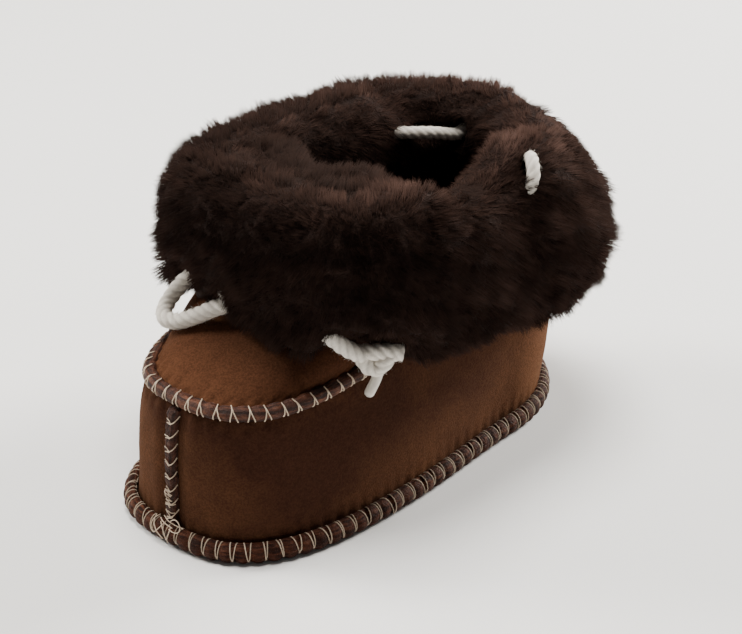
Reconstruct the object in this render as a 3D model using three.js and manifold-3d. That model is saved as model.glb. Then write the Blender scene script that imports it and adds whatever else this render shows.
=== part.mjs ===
// Sheepskin bootie: a sewn moccasin slipper with a turned-down fur cuff and a drawcord tied at the throat.
// Millimetres, +Z up, toe at -Y, floor at Z = 0, origin under the middle of the sole.
import * as THREE from 'three';
import { mergeVertices } from 'three/addons/utils/BufferGeometryUtils.js';
import Module from 'manifold-3d';

const wasm = await Module();
wasm.setup();

// Foot and sole
const SOLE_LENGTH = 160;
const BALL_WIDTH = 79.5;
const SEAT_WIDTH = 74;
const BALL_SHARE = 0.41;
const TOE_POWER = 2.78;
const HEEL_POWER = 1.9;
const SEAT_ROUND = 1.15;
const SOLE_THICKNESS = 2.6;
const INSOLE_THICKNESS = 4.5;

// Walls, seams and the clearance between neighbours
const GAP = 0.3;
const WALL = 2.4;
const WELT_WIDTH = 3.6;
const APRON_BEAD = { radius: 2.4, lift: 0.5, sides: 8, endY: -25 };
const TOE_BEAD = { radius: 2.0, lift: 0.5, sides: 9, foot: 6.1, top: 40.6, steps: 5 };
const APRON_END_Y = -33;
const THROAT_END_Y = -36;
const APRON_CUT = { below: 12, above: 8 };

// Cord
const CORD_DIAMETER = 4;

// Steps round half of the outline: toe, side and heel
const TOE_STEPS = 9;
const SIDE_STEPS = 4;
const HEEL_STEPS = 7;
const HALF_STEPS = TOE_STEPS + SIDE_STEPS + HEEL_STEPS;
const AROUND = 2 * HALF_STEPS;

const BALL_Y = -SOLE_LENGTH / 2 + BALL_SHARE * SOLE_LENGTH;
const SOLE_TOP = SOLE_THICKNESS;
const UPPER_FOOT = SOLE_TOP + GAP;

// The last, ring by ring from the sole to the collar. Insets are from the sole's edge,
// and rise is how much higher a ring stands at the throat than at the toe.
const LAST = [
  { z: UPPER_FOOT, rise: 0, toeIn: 4.2, heelIn: 4.2, ballIn: 4.2, seatIn: 4.2 },
  { z: 8, rise: 0, toeIn: 4.2, heelIn: 3.9, ballIn: 4.3, seatIn: 4.0 },
  { z: 23, rise: 1.0, toeIn: 5.0, heelIn: 1.7, ballIn: 5.2, seatIn: 2.4 },
  { z: 34, rise: 2.2, toeIn: 6.1, heelIn: 0.6, ballIn: 7.0, seatIn: 1.6 },
  { z: 40.5, rise: 3.0, toeIn: 7.2, heelIn: 0.3, ballIn: 8.4, seatIn: 1.4 },
  { z: 43.6, rise: 3.6, toeIn: 9.2, heelIn: 0.3, ballIn: 9.2, seatIn: 1.5 },
  { z: 45.6, rise: 3.8, toeIn: 13.8, heelIn: 0.4, ballIn: 9.4, seatIn: 1.6 },
  { z: 48.8, rise: 3.4, toeIn: 21.5, heelIn: 0.8, ballIn: 9.0, seatIn: 1.9 },
  { z: 52.5, rise: 2.6, toeIn: 30, heelIn: 1.5, ballIn: 8.2, seatIn: 2.4 },
  { z: 56.5, rise: 1.8, toeIn: 37.5, heelIn: 2.4, ballIn: 7.4, seatIn: 3 },
  { z: 64, rise: 0.6, toeIn: 42.2, heelIn: 4.2, ballIn: 6.8, seatIn: 3.7 },
  { z: 85, rise: 0, toeIn: 44, heelIn: 8, ballIn: 6.5, seatIn: 5 },
];
const SEAM_RING = 5;
const THROAT_RING = 9;
const RISE_FROM_Y = -62;
const RISE_TO_Y = -22;

// Welt section: inset from the sole's edge and height
const WELT_SECTION = [
  { inset: WELT_WIDTH, z: 0 },
  { inset: 1.5, z: 0 },
  { inset: 0.3, z: 1.1 },
  { inset: 0, z: 2.7 },
  { inset: 0.5, z: 4.5 },
  { inset: 1.7, z: 5.6 },
  { inset: 2.9, z: 5.7 },
  { inset: WELT_WIDTH, z: 5.0 },
];

// Wool from the front to the back of the collar: how far it reaches outside and inside the wall,
// and the heights of its crest, of the cuff's hem and of the inner wool's lower edge.
const CUFF = [
  { at: 0.0, reach: 16.5, within: 15, crest: 101, hem: 62, inHem: 68 },
  { at: 0.25, reach: 18, within: 16, crest: 100.5, hem: 62, inHem: 68 },
  { at: 0.5, reach: 23, within: 17, crest: 101, hem: 51, inHem: 66 },
  { at: 0.78, reach: 20, within: 17, crest: 98, hem: 45, inHem: 66 },
  { at: 1.0, reach: 14, within: 16, crest: 96, hem: 45, inHem: 66 },
];
const FOLD = { below: 1, above: 20 };
const RIM_SAG = { depth: 5, y: 0, spread: 15 };

// Cuff section: share of the reach, and share of the height from hem to crest.
// Positive shares lie outside the wall and negative ones inside it.
const CUFF_SECTION = [
  { out: 0.02, up: 0.06 },
  { out: 0.45, up: 0 },
  { out: 0.8, up: 0.07 },
  { out: 0.97, up: 0.27 },
  { out: 1, up: 0.5 },
  { out: 0.86, up: 0.74 },
  { out: 0.54, up: 0.93 },
  { out: 0.12, up: 1 },
  { out: -0.42, up: 0.95 },
  { out: -0.85, up: 0.75 },
  { out: -1, up: 0.4 },
  { out: -0.65, up: 0 },
  { out: -0.02, up: 0.06 },
];

// Locks of wool, row by row up the cuff: place on the section, count, size and lie
const LOCK_ROWS = [
  { section: 2, count: 14, radius: 6.4, length: 14, stand: 0.35, fall: -0.9 },
  { section: 3, count: 12, radius: 7.6, length: 17, stand: 0.42, fall: -0.9 },
  { section: 4, count: 12, radius: 7.8, length: 18, stand: 0.42, fall: -0.9 },
  { section: 5, count: 10, radius: 7.8, length: 18, stand: 0.5, fall: -0.8 },
  { section: 6, count: 8, radius: 7.2, length: 16, stand: 0.7, fall: -0.6 },
];
const LOCK_PROFILE = [[0, -0.4], [1, 0], [0.62, 0.5], [0, 0.95]];
const LOCK_SIDES = 4;
const LOCK_SUNK = 5;
const LOCK_SWAY = { reach: 0.35, perLock: 2.4, perRow: 1.7 };

// Cord routes, chosen by hand along the collar's fold and over the toe
const DRAWCORD_ROUTE = [
  [-9, -37, 89], [-21, -31, 89], [-29, -19, 89], [-32, -2, 89], [-32, 12, 89], [-28, 22, 88.5],
  [-19, 30, 87.5], [-12.5, 37, 87], [-8, 46, 87], [-5.5, 55, 87], [-6, 63, 88], [-1, 69, 88.5],
  [9, 69, 88.5], [19, 64, 91], [26, 57, 96.2], [29, 50, 94], [30.5, 44, 94], [35, 38.5, 97],
  [39.5, 34.5, 97], [43.5, 30, 94], [41, 24, 90], [36, 19, 88.5], [33, 8, 88.5], [32, -4, 88.5],
  [29, -19, 89], [21, -31, 89], [9, -37, 89],
];
const LOOP_ROUTE = [
  [-4.5, -47, 60.5], [-10, -46, 59.5], [-16, -49, 56], [-22, -52.5, 52.6], [-27, -52, 51.6],
  [-30, -47.5, 52], [-31, -42, 55.5], [-29.5, -37.5, 60.5], [-22, -38, 63.5], [-12, -43, 63.5],
  [-4.3, -46, 62.2],
];
const TAIL_ROUTE = [
  [4.5, -46.5, 61], [12, -45, 61.5], [20, -43.5, 61.8], [27, -40.5, 60.8], [32, -36, 58.2],
  [34.6, -32.5, 56.3],
];
const TIP_ROUTE = [[37.4, -29.6, 49.8], [37.6, -31.2, 47.5], [37.4, -33, 45], [37, -34.2, 43]];
const BOW_KNOT = { centre: [0, -46.4, 60.6], radius: 2.4, tube: 2.1 };
const TAIL_KNOT = { centre: [37.6, -28.4, 54.4], radius: 2.8, tube: 2 };
const KNOT_TURNS = [{ x: 0.5, y: 0.3, z: 0 }, { x: 2.0, y: 0.4, z: 0.9 }];
const KNOT_SIDES = 6;
const KNOT_STEPS = 8;
const CORD_SIDES = 8;
const CORD_STEP = 10;

const MATERIALS = {
  suede: { color: 0x5f3c22, roughness: 0.95, metalness: 0 },
  pelt: { color: 0x2a1b17, roughness: 1, metalness: 0 },
  seamLeather: { color: 0x4a261a, roughness: 0.6, metalness: 0 },
  cotton: { color: 0xd8d2c8, roughness: 0.95, metalness: 0 },
};

// Small helpers

const lerp = (a, b, t) => a + (b - a) * t;

function smooth(t) {
  const s = THREE.MathUtils.clamp(t, 0, 1);
  return s * s * (3 - 2 * s);
}

// Smoothly mixed row of a table whose rows are ordered by the column named key
function rowAt(table, key, value) {
  let i = 0;
  while (i < table.length - 2 && table[i + 1][key] < value) i += 1;
  const [a, b] = [table[i], table[i + 1]];
  const t = smooth((value - a[key]) / (b[key] - a[key]));
  return Object.fromEntries(Object.keys(a).map((column) => [column, lerp(a[column], b[column], t)]));
}

// Plan outline of the foot

// Point on the +X half of an outline, from the toe's tip at step 0 to the heel's tip at the last step
function halfOutline({ toe, heel, ball, seat }, step) {
  const seatY = heel - SEAT_ROUND * seat;
  if (step <= TOE_STEPS) {
    const angle = (step / TOE_STEPS) * Math.PI / 2;
    const x = ball * Math.sin(angle) ** (2 / TOE_POWER);
    return [x, BALL_Y - (BALL_Y - toe) * Math.cos(angle) ** (2 / TOE_POWER)];
  }
  if (step < TOE_STEPS + SIDE_STEPS) {
    const t = (step - TOE_STEPS) / SIDE_STEPS;
    return [lerp(ball, seat, smooth(t)), lerp(BALL_Y, seatY, t)];
  }
  const angle = ((step - TOE_STEPS - SIDE_STEPS) / HEEL_STEPS) * Math.PI / 2;
  const x = seat * Math.max(Math.cos(angle), 0) ** (2 / HEEL_POWER);
  return [x, seatY + (heel - seatY) * Math.sin(angle) ** (2 / HEEL_POWER)];
}

// Closed outline, counter-clockwise from above, starting at the toe's tip
function outline(sizes) {
  const points = [];
  for (let i = 0; i < AROUND; i += 1) {
    const [x, y] = halfOutline(sizes, i <= HALF_STEPS ? i : AROUND - i);
    points.push(new THREE.Vector2(i <= HALF_STEPS ? x : -x, y));
  }
  return points;
}

// The same closed outline moved inwards by inset
function insetOutline(points, inset) {
  return points.map((point, i) => {
    const before = points[(i + points.length - 1) % points.length];
    const after = points[(i + 1) % points.length];
    const along = after.clone().sub(before).normalize();
    return new THREE.Vector2(point.x - along.y * inset, point.y + along.x * inset);
  });
}

const SOLE_OUTLINE = outline({
  toe: -SOLE_LENGTH / 2, heel: SOLE_LENGTH / 2, ball: BALL_WIDTH / 2, seat: SEAT_WIDTH / 2,
});

const flatRing = (points, z) => points.map((point) => new THREE.Vector3(point.x, point.y, z));

// Lofts, as closed geometries

function stitchRings(rings, closed) {
  const count = rings[0].length;
  const positions = rings.flat().flatMap((p) => [p.x, p.y, p.z]);
  const index = [];
  const last = closed ? rings.length : rings.length - 1;
  for (let j = 0; j < last; j += 1) {
    const k = (j + 1) % rings.length;
    for (let i = 0; i < count; i += 1) {
      const n = (i + 1) % count;
      const [a, b, c, d] = [j * count + i, j * count + n, k * count + n, k * count + i];
      index.push(a, b, c, a, c, d);
    }
  }
  return { positions, index, count };
}

function toGeometry(positions, index) {
  const geometry = new THREE.BufferGeometry();
  geometry.setAttribute('position', new THREE.Float32BufferAttribute(positions, 3));
  geometry.setIndex(index);
  return geometry;
}

// Rings joined in a closed band, the last one to the first, as in a hollow wall
function closedLoft(rings) {
  const { positions, index } = stitchRings(rings, true);
  return toGeometry(positions, index);
}

// Rings joined in order, with a fan over each end
function cappedLoft(rings) {
  const { positions, index, count } = stitchRings(rings, false);
  for (const [j, turn] of [[0, false], [rings.length - 1, true]]) {
    const centre = rings[j].reduce((sum, p) => sum.add(p), new THREE.Vector3()).divideScalar(count);
    const hub = positions.length / 3;
    positions.push(centre.x, centre.y, centre.z);
    for (let i = 0; i < count; i += 1) {
      const [a, b] = [j * count + i, j * count + ((i + 1) % count)];
      index.push(...(turn ? [a, b, hub] : [b, a, hub]));
    }
  }
  return toGeometry(positions, index);
}

// Solids that can be joined and cut

function solid(geometry) {
  const bare = geometry.clone();
  for (const name of Object.keys(bare.attributes)) {
    if (name !== 'position') bare.deleteAttribute(name);
  }
  const merged = mergeVertices(bare, 1e-4);
  return new wasm.Manifold(new wasm.Mesh({
    numProp: 3,
    vertProperties: new Float32Array(merged.attributes.position.array),
    triVerts: new Uint32Array(merged.index.array),
  }));
}

function fromSolid(body) {
  const mesh = body.getMesh();
  return toGeometry(Array.from(mesh.vertProperties), Array.from(mesh.triVerts));
}

// Upright prism over a closed plan outline
function prism(points, low, high) {
  const options = { depth: high - low, bevelEnabled: false };
  return new THREE.ExtrudeGeometry(new THREE.Shape(points), options).translate(0, 0, low);
}

const throatShare = (y) => smooth((y - RISE_FROM_Y) / (RISE_TO_Y - RISE_FROM_Y));

// The last's outer surface

function lastRing(row) {
  const points = outline({
    toe: -SOLE_LENGTH / 2 + row.toeIn,
    heel: SOLE_LENGTH / 2 - row.heelIn,
    ball: BALL_WIDTH / 2 - row.ballIn,
    seat: SEAT_WIDTH / 2 - row.seatIn,
  });
  return points.map((p) => new THREE.Vector3(p.x, p.y, row.z + row.rise * throatShare(p.y)));
}

const LAST_RINGS = LAST.map(lastRing);

// Outward normals of a grid of rings that run upwards
function ringNormals(rings) {
  return rings.map((ring, j) => ring.map((_, i) => {
    const along = ring[(i + 1) % ring.length].clone().sub(ring[(i + ring.length - 1) % ring.length]);
    const above = rings[Math.min(j + 1, rings.length - 1)][i];
    const below = rings[Math.max(j - 1, 0)][i];
    return along.cross(above.clone().sub(below)).normalize();
  }));
}

const LAST_NORMALS = ringNormals(LAST_RINGS);

// The last's rings moved out along the surface's normals, with the first and last kept level
function offsetRings(distance) {
  return LAST_RINGS.map((ring, j) => ring.map((point, i) => {
    const moved = point.clone().addScaledVector(LAST_NORMALS[j][i], distance);
    if (j === 0 || j === LAST_RINGS.length - 1) moved.z = point.z;
    return moved;
  }));
}

const lifted = (ring, dz) => ring.map((point) => point.clone().setZ(point.z + dz));

// Hollow wall between two offsets of the last
function shell(outer, inner, extraTop) {
  const outside = offsetRings(outer);
  const inside = offsetRings(inner);
  const top = LAST_RINGS.length - 1;
  outside[top] = lifted(outside[top], extraTop);
  inside[top] = lifted(inside[top], extraTop);
  return solid(closedLoft([...outside, ...inside.reverse()]));
}

// The last as one filled form, grown by distance
const filledLast = (distance) => solid(cappedLoft(offsetRings(distance)));

// Sole, welt and insole

function makeSole() {
  const edge = insetOutline(SOLE_OUTLINE, WELT_WIDTH + GAP);
  return cappedLoft([flatRing(edge, 0), flatRing(edge, SOLE_TOP)]);
}

function makeWelt() {
  return closedLoft(WELT_SECTION.map(({ inset, z }) => flatRing(insetOutline(SOLE_OUTLINE, inset), z)));
}

function makeInsole() {
  const slab = prism(SOLE_OUTLINE, 0, UPPER_FOOT + INSOLE_THICKNESS);
  return fromSolid(filledLast(-WALL - GAP).intersect(solid(slab)));
}

// Upper and apron, cut from one wall along the apron's outline

// Stations of a ring ahead of a line across the foot, from the -X side round the toe to the +X side
function stationsAhead(ring, endY) {
  const stations = [];
  for (let step = 1 - HALF_STEPS; step < HALF_STEPS; step += 1) {
    const i = (step + AROUND) % AROUND;
    if (ring[i].y < endY) stations.push(i);
  }
  return stations;
}

function apronOutline(grow) {
  const edge = (ring, inset, endY) => {
    const points = insetOutline(ring.map((p) => new THREE.Vector2(p.x, p.y)), inset);
    const run = stationsAhead(ring, endY).map((i) => points[i]);
    run[0].y += grow;
    run[run.length - 1].y += grow;
    return run;
  };
  const seam = edge(LAST_RINGS[SEAM_RING], -grow, APRON_END_Y);
  const throat = edge(LAST_RINGS[THROAT_RING], grow, THROAT_END_Y);
  return [...seam, ...throat.reverse()];
}

function makeUpperAndApron() {
  const wall = shell(0, -WALL, 0);
  const [low, high] = [LAST[SEAM_RING].z - APRON_CUT.below, LAST[THROAT_RING].z + APRON_CUT.above];
  return {
    upper: fromSolid(wall.subtract(solid(prism(apronOutline(GAP), low, high)))),
    apron: fromSolid(wall.intersect(solid(prism(apronOutline(0), low, high)))),
  };
}

// Rolled seams: a round bead along a line on the last, cut away GAP above the suede

function bead(line, { radius, lift, sides }) {
  const rings = line.map(({ point, normal }, i) => {
    const ahead = line[Math.min(i + 1, line.length - 1)].point;
    const behind = line[Math.max(i - 1, 0)].point;
    const side = ahead.clone().sub(behind).cross(normal).normalize();
    const centre = point.clone().addScaledVector(normal, lift);
    return Array.from({ length: sides }, (_, k) => {
      const angle = (k / sides) * 2 * Math.PI;
      return centre.clone()
        .addScaledVector(side, radius * Math.cos(angle))
        .addScaledVector(normal, radius * Math.sin(angle));
    });
  });
  return solid(cappedLoft(rings.map((ring) => ring.reverse())));
}

function makeApronSeam(last) {
  const ring = LAST_RINGS[SEAM_RING];
  const line = stationsAhead(ring, APRON_BEAD.endY).map((i) => ({
    point: ring[i],
    normal: LAST_NORMALS[SEAM_RING][i],
  }));
  return fromSolid(bead(line, APRON_BEAD).subtract(last));
}

function makeToeSeam(last) {
  const line = [];
  for (let k = 0; k <= TOE_BEAD.steps; k += 1) {
    const z = lerp(TOE_BEAD.foot, TOE_BEAD.top, k / TOE_BEAD.steps);
    line.push({ point: wallPoint(0, z), normal: new THREE.Vector3(0, -1, 0) });
  }
  return fromSolid(bead(line, TOE_BEAD).subtract(last));
}

// Fur cuff

// Point of the last's outer surface at station i and height z
function wallPoint(i, z) {
  let j = 0;
  while (j < LAST_RINGS.length - 2 && LAST_RINGS[j + 1][i].z < z) j += 1;
  const [a, b] = [LAST_RINGS[j][i], LAST_RINGS[j + 1][i]];
  const t = THREE.MathUtils.clamp((z - a.z) / (b.z - a.z), 0, 1);
  return new THREE.Vector3(lerp(a.x, b.x, t), lerp(a.y, b.y, t), z);
}

function cuffSizes(i) {
  const step = i <= HALF_STEPS ? i : AROUND - i;
  const sizes = rowAt(CUFF, 'at', step / HALF_STEPS);
  const collar = LAST_RINGS[LAST_RINGS.length - 1][i];
  if (collar.x > 0) {
    const away = (collar.y - RIM_SAG.y) / RIM_SAG.spread;
    sizes.crest -= RIM_SAG.depth * Math.exp(-away * away);
  }
  return sizes;
}

// Rings of the cuff, one for each point of its section
function cuffRings() {
  const collar = LAST_RINGS[LAST_RINGS.length - 1];
  return CUFF_SECTION.map(({ out, up }) => collar.map((_, i) => {
    const sizes = cuffSizes(i);
    const along = collar[(i + 1) % AROUND].clone().sub(collar[(i + AROUND - 1) % AROUND]).normalize();
    const outward = new THREE.Vector3(along.y, -along.x, 0);
    const hem = out > 0 ? sizes.hem : sizes.inHem;
    const reach = out > 0 ? sizes.reach : sizes.within;
    const point = wallPoint(i, lerp(hem, sizes.crest, up));
    return point.addScaledVector(outward, out * reach - WALL / 2);
  }));
}

// One lock: a teardrop with its root in the wool and its tip laid over
function lock(point, normal, row, sway) {
  const along = new THREE.Vector3(-normal.y, normal.x, 0).normalize();
  const aim = normal.clone().multiplyScalar(row.stand).addScaledVector(along, sway);
  aim.z += row.fall;
  aim.normalize();
  const profile = LOCK_PROFILE.map(([r, h]) => new THREE.Vector2(r * row.radius, h * row.length));
  const drop = new THREE.LatheGeometry(profile, LOCK_SIDES);
  drop.applyQuaternion(new THREE.Quaternion().setFromUnitVectors(new THREE.Vector3(0, 1, 0), aim));
  const root = point.clone().addScaledVector(normal, -LOCK_SUNK);
  return solid(drop.translate(root.x, root.y, root.z));
}

// Upright band over the middle of the collar's edge, where the two layers of wool part
function collarFold() {
  const outside = offsetRings((GAP - WALL) / 2).pop();
  const inside = offsetRings((-GAP - WALL) / 2).pop();
  return solid(closedLoft([
    lifted(outside, -FOLD.below),
    lifted(outside, FOLD.above),
    lifted(inside, FOLD.above),
    lifted(inside, -FOLD.below),
  ]));
}

// The cuff outside the wall and the lining's wool inside it, which meet at the collar's fold
function makeWool(cuts) {
  const rings = cuffRings();
  const normals = ringNormals(rings);
  let wool = solid(closedLoft(rings));
  LOCK_ROWS.forEach((row, r) => {
    for (let k = 0; k < row.count; k += 1) {
      const turn = ((k + 0.5 * (r % 2)) / row.count) * AROUND;
      const i = Math.round(turn) % AROUND;
      const sway = LOCK_SWAY.reach * Math.sin(LOCK_SWAY.perLock * k + LOCK_SWAY.perRow * r);
      wool = wool.add(lock(rings[row.section][i], normals[row.section][i], row, sway));
    }
  });
  const bodies = [...cuts, collarFold()].reduce((body, cut) => body.subtract(cut), wool).decompose();
  const [cuff, collarWool] = bodies.sort((a, b) => b.volume() - a.volume()).map(fromSolid);
  return { cuff, collarWool };
}

// Cords and knots

const toVectors = (route) => route.map(([x, y, z]) => new THREE.Vector3(x, y, z));

// Move the end of a route away from the point next to it
function extendEnd(end, next, length) {
  end.addScaledVector(end.clone().sub(next).normalize(), length);
}

// A round cord along a route, grown all over and at both ends
function cord(route, grow = 0) {
  const points = toVectors(route);
  extendEnd(points[0], points[1], grow);
  extendEnd(points[points.length - 1], points[points.length - 2], grow);
  const path = new THREE.CatmullRomCurve3(points);
  const radius = CORD_DIAMETER / 2 + grow;
  const section = new THREE.Shape();
  for (let k = 0; k < CORD_SIDES; k += 1) {
    const angle = (k / CORD_SIDES) * 2 * Math.PI;
    const [x, y] = [radius * Math.cos(angle), radius * Math.sin(angle)];
    if (k === 0) section.moveTo(x, y);
    else section.lineTo(x, y);
  }
  const steps = Math.round(path.getLength() / CORD_STEP);
  return new THREE.ExtrudeGeometry(section, { steps, bevelEnabled: false, extrudePath: path });
}

// A pulled knot: two turns of cord set across each other
function knot({ centre, radius, tube }, grow = 0) {
  const turns = KNOT_TURNS.map(({ x, y, z }) => {
    const turn = new THREE.TorusGeometry(radius, tube + grow, KNOT_SIDES, KNOT_STEPS);
    turn.rotateX(x).rotateY(y).rotateZ(z);
    return solid(turn.translate(...centre));
  });
  const core = new THREE.IcosahedronGeometry(radius + grow, 0);
  return turns.reduce((body, turn) => body.add(turn), solid(core.translate(...centre)));
}

// Assembly

const bootie = new THREE.Group();

function add(name, geometry, finish) {
  const mesh = new THREE.Mesh(geometry, new THREE.MeshStandardMaterial(MATERIALS[finish]));
  mesh.name = name;
  bootie.add(mesh);
}

const clearLast = filledLast(GAP);
const { upper, apron } = makeUpperAndApron();
const { cuff, collarWool } = makeWool([
  shell(GAP, -WALL - GAP, GAP),
  solid(cord(DRAWCORD_ROUTE, GAP)),
  solid(cord(LOOP_ROUTE, GAP)),
  solid(cord(TAIL_ROUTE, GAP)),
  knot(BOW_KNOT, GAP),
  knot(TAIL_KNOT, GAP),
]);
add('sole', makeSole(), 'suede');
add('sole_welt', makeWelt(), 'seamLeather');
add('insole', makeInsole(), 'pelt');
add('upper', upper, 'suede');
add('apron', apron, 'suede');
add('apron_seam', makeApronSeam(clearLast), 'seamLeather');
add('toe_seam', makeToeSeam(clearLast), 'seamLeather');
add('cuff', cuff, 'pelt');
add('collar_wool', collarWool, 'pelt');
add('drawcord', cord(DRAWCORD_ROUTE), 'cotton');
add('bow_knot', fromSolid(knot(BOW_KNOT)), 'cotton');
add('bow_loop', cord(LOOP_ROUTE), 'cotton');
add('bow_tail', cord(TAIL_ROUTE), 'cotton');
add('tail_knot', fromSolid(knot(TAIL_KNOT)), 'cotton');
add('tail_tip', cord(TIP_ROUTE), 'cotton');

export default bootie;
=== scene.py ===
"""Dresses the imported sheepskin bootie: suede, rolled and sewn seams, wool cuff, lining and cotton cord."""

import math

import bmesh
import bpy
import numpy as np
from bpy.props import FloatProperty, FloatVectorProperty, IntProperty, PointerProperty
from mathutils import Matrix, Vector
from mathutils.kdtree import KDTree


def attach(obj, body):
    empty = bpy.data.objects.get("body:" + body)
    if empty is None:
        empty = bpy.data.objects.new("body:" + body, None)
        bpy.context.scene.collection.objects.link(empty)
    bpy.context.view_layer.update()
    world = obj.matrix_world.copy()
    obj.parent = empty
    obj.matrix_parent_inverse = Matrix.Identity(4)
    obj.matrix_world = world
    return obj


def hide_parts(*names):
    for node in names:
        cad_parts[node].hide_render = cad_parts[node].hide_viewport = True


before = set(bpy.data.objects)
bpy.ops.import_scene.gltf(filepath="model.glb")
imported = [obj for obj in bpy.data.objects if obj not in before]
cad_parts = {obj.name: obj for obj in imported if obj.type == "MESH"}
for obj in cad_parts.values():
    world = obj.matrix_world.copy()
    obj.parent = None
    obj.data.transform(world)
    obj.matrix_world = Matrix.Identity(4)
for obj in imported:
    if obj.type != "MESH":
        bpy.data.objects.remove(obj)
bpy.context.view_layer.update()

bl_info = {
    "name": "Sheepskin Bootie",
    "version": (1, 0, 0),
    "blender": (4, 5, 0),
    "location": "View3D > Sidebar > Bootie",
    "description": "Dresses the packed bootie with suede, sewn seams, wool and cord",
    "category": "Object",
}

BODY = "root"
MM = 0.001

# Camera in degrees and metres, for an image of 742 by 634 pixels
IMAGE_WIDTH = 742
FOCAL_PIXELS = 1900.0
SENSOR = 36.0
CAMERA_AZIMUTH = 42.14
CAMERA_ELEVATION = 27.48
CAMERA_PLACE = (0.3473, -0.3755, 0.3081)

# Foot and last, in millimetres, as in the part's source
SOLE_LENGTH = 160.0
BALL_WIDTH = 79.5
SEAT_WIDTH = 74.0
BALL_Y = -SOLE_LENGTH / 2 + 0.41 * SOLE_LENGTH
TOE_POWER = 2.78
HEEL_POWER = 1.9
SEAT_ROUND = 1.15
TOE_STEPS = 10
SIDE_STEPS = 4
HEEL_STEPS = 8
HEEL_STATION = TOE_STEPS + SIDE_STEPS + HEEL_STEPS
WALL = 2.4
RISE_FROM_Y = -62.0
RISE_TO_Y = -22.0
SOLE_THICKNESS = 2.6
INSOLE_TOP = 7.4

# Rings of the last: height, rise towards the throat, and insets at toe, heel, ball and seat
LAST = (
    (2.9, 0.0, 4.2, 4.2, 4.2, 4.2),
    (8.0, 0.0, 4.2, 3.9, 4.3, 4.0),
    (23.0, 1.0, 5.0, 1.7, 5.2, 2.4),
    (34.0, 2.2, 6.1, 0.6, 7.0, 1.6),
    (40.5, 3.0, 7.2, 0.3, 8.4, 1.4),
    (43.6, 3.6, 9.2, 0.3, 9.2, 1.5),
    (45.6, 3.8, 13.8, 0.4, 9.4, 1.6),
    (48.8, 3.4, 21.5, 0.8, 9.0, 1.9),
    (52.5, 2.6, 30.0, 1.5, 8.2, 2.4),
    (56.5, 1.8, 37.5, 2.4, 7.4, 3.0),
    (64.0, 0.6, 42.2, 4.2, 6.8, 3.7),
    (85.0, 0.0, 44.0, 8.0, 6.5, 5.0),
)
COLLAR_ROW = len(LAST) - 1
SEAM_ROW = 5
THROAT_ROW = 9
APRON_STATION = 8.3

# Welt section: inset from the sole's edge and height
WELT_SECTION = (
    (3.6, 0.0), (1.5, 0.0), (0.3, 1.1), (0.0, 2.7), (0.5, 4.5), (1.7, 5.6), (2.9, 5.7), (3.6, 5.0),
)

# Cuff from front to back: place, reach outside the wall, reach inside it on the +X and the -X side, crest,
# outer hem and inner hem
CUFF = (
    (0.0, 16.5, 24.0, 24.0, 100.0, 55.5, 68.0),
    (0.25, 18.0, 24.0, 20.0, 100.5, 53.5, 68.0),
    (0.42, 22.5, 25.0, 19.0, 101.0, 49.0, 67.0),
    (0.52, 24.5, 17.0, 15.0, 101.0, 46.5, 66.0),
    (0.62, 24.5, 13.0, 21.5, 100.0, 43.0, 66.0),
    (0.78, 23.5, 17.0, 21.0, 98.0, 40.5, 64.0),
    (1.0, 15.0, 24.0, 24.0, 96.0, 43.0, 62.0),
)
# Height of the wall that the wool below it hangs straight down from
HEM_WALL = 62.0
# Dips of the crest on the +X side: depth, y and spread
RIM_SAGS = ((11.5, 6.0, 10.5), (9.5, 20.0, 10.0), (7.5, 63.0, 8.0))
# Cuff section from the outer hem over the crest to the inner hem: shares of the reach and of the height, and
# the rows of its crest, of the wool seen outside and of the wool in the mouth
CUFF_SECTION = (
    (0.02, 0.06), (0.45, 0.0), (0.8, 0.07), (0.97, 0.27), (1.0, 0.5), (0.86, 0.74), (0.54, 0.93),
    (0.12, 1.0), (-0.42, 0.96), (-0.82, 0.78), (-1.0, 0.36), (-0.7, 0.0), (-0.02, 0.06),
)
CREST_SECTION = 7.3
OUTER_SECTION = (0.5, 7.6)
MOUTH_SECTION = (7.6, 11.6)
# Lobe of wool that falls into the mouth's front: its back edge as x and y, its section as y from that edge
# and height, the place that it is rooted at in the same terms, and the section's row at its crest
LOBE_EDGE = (
    (-33, -2), (-25, -0.5), (-17, -1.5), (-9, -6.5), (-2, -11), (6, -9.5), (12, -3), (19, -3), (29, -9),
)
LOBE_SECTION = ((-27, 94), (-17, 97.5), (-8.5, 98.5), (-2.5, 96.5), (0.3, 91), (0, 83), (-4, 76))
LOBE_CORE = (-16, 80)
LOBE_CREST = 1.0

# Cord routes, close to those in the part's source
DRAWCORD_ROUTE = (
    (-9, -37, 89), (-21, -31, 89), (-29, -19, 89), (-32, -2, 89), (-32, 12, 89), (-28, 22, 88.5),
    (-20.5, 31.5, 87.5), (-14, 38, 87), (-8, 46, 86.2), (-5.5, 55, 84), (-6, 63, 86), (-1, 69, 87.5),
    (9, 69, 86), (19, 64, 84.5), (26, 57, 84), (29, 50, 85.5), (31.5, 42.5, 89.5), (36, 37.5, 93),
    (40.6, 33, 94.2), (43.4, 30, 90.4), (42.4, 26, 83.5), (39, 19, 80), (36.8, 13, 79.5), (36, 6, 80),
    (35.5, -5, 82), (32, -19, 86.5), (21, -31, 89), (9, -37, 89),
)
LOOP_ROUTE = (
    (-4.5, -46, 62.5), (-9.5, -48, 60), (-15, -50.5, 56.5), (-21.5, -52.5, 53.4), (-26, -52.4, 53.2),
    (-29, -48.8, 54.8), (-29, -44.5, 58.2), (-26.3, -41, 62.5), (-19.5, -40.5, 65), (-11.5, -43, 65),
    (-4.3, -45.5, 63.8),
)
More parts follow.
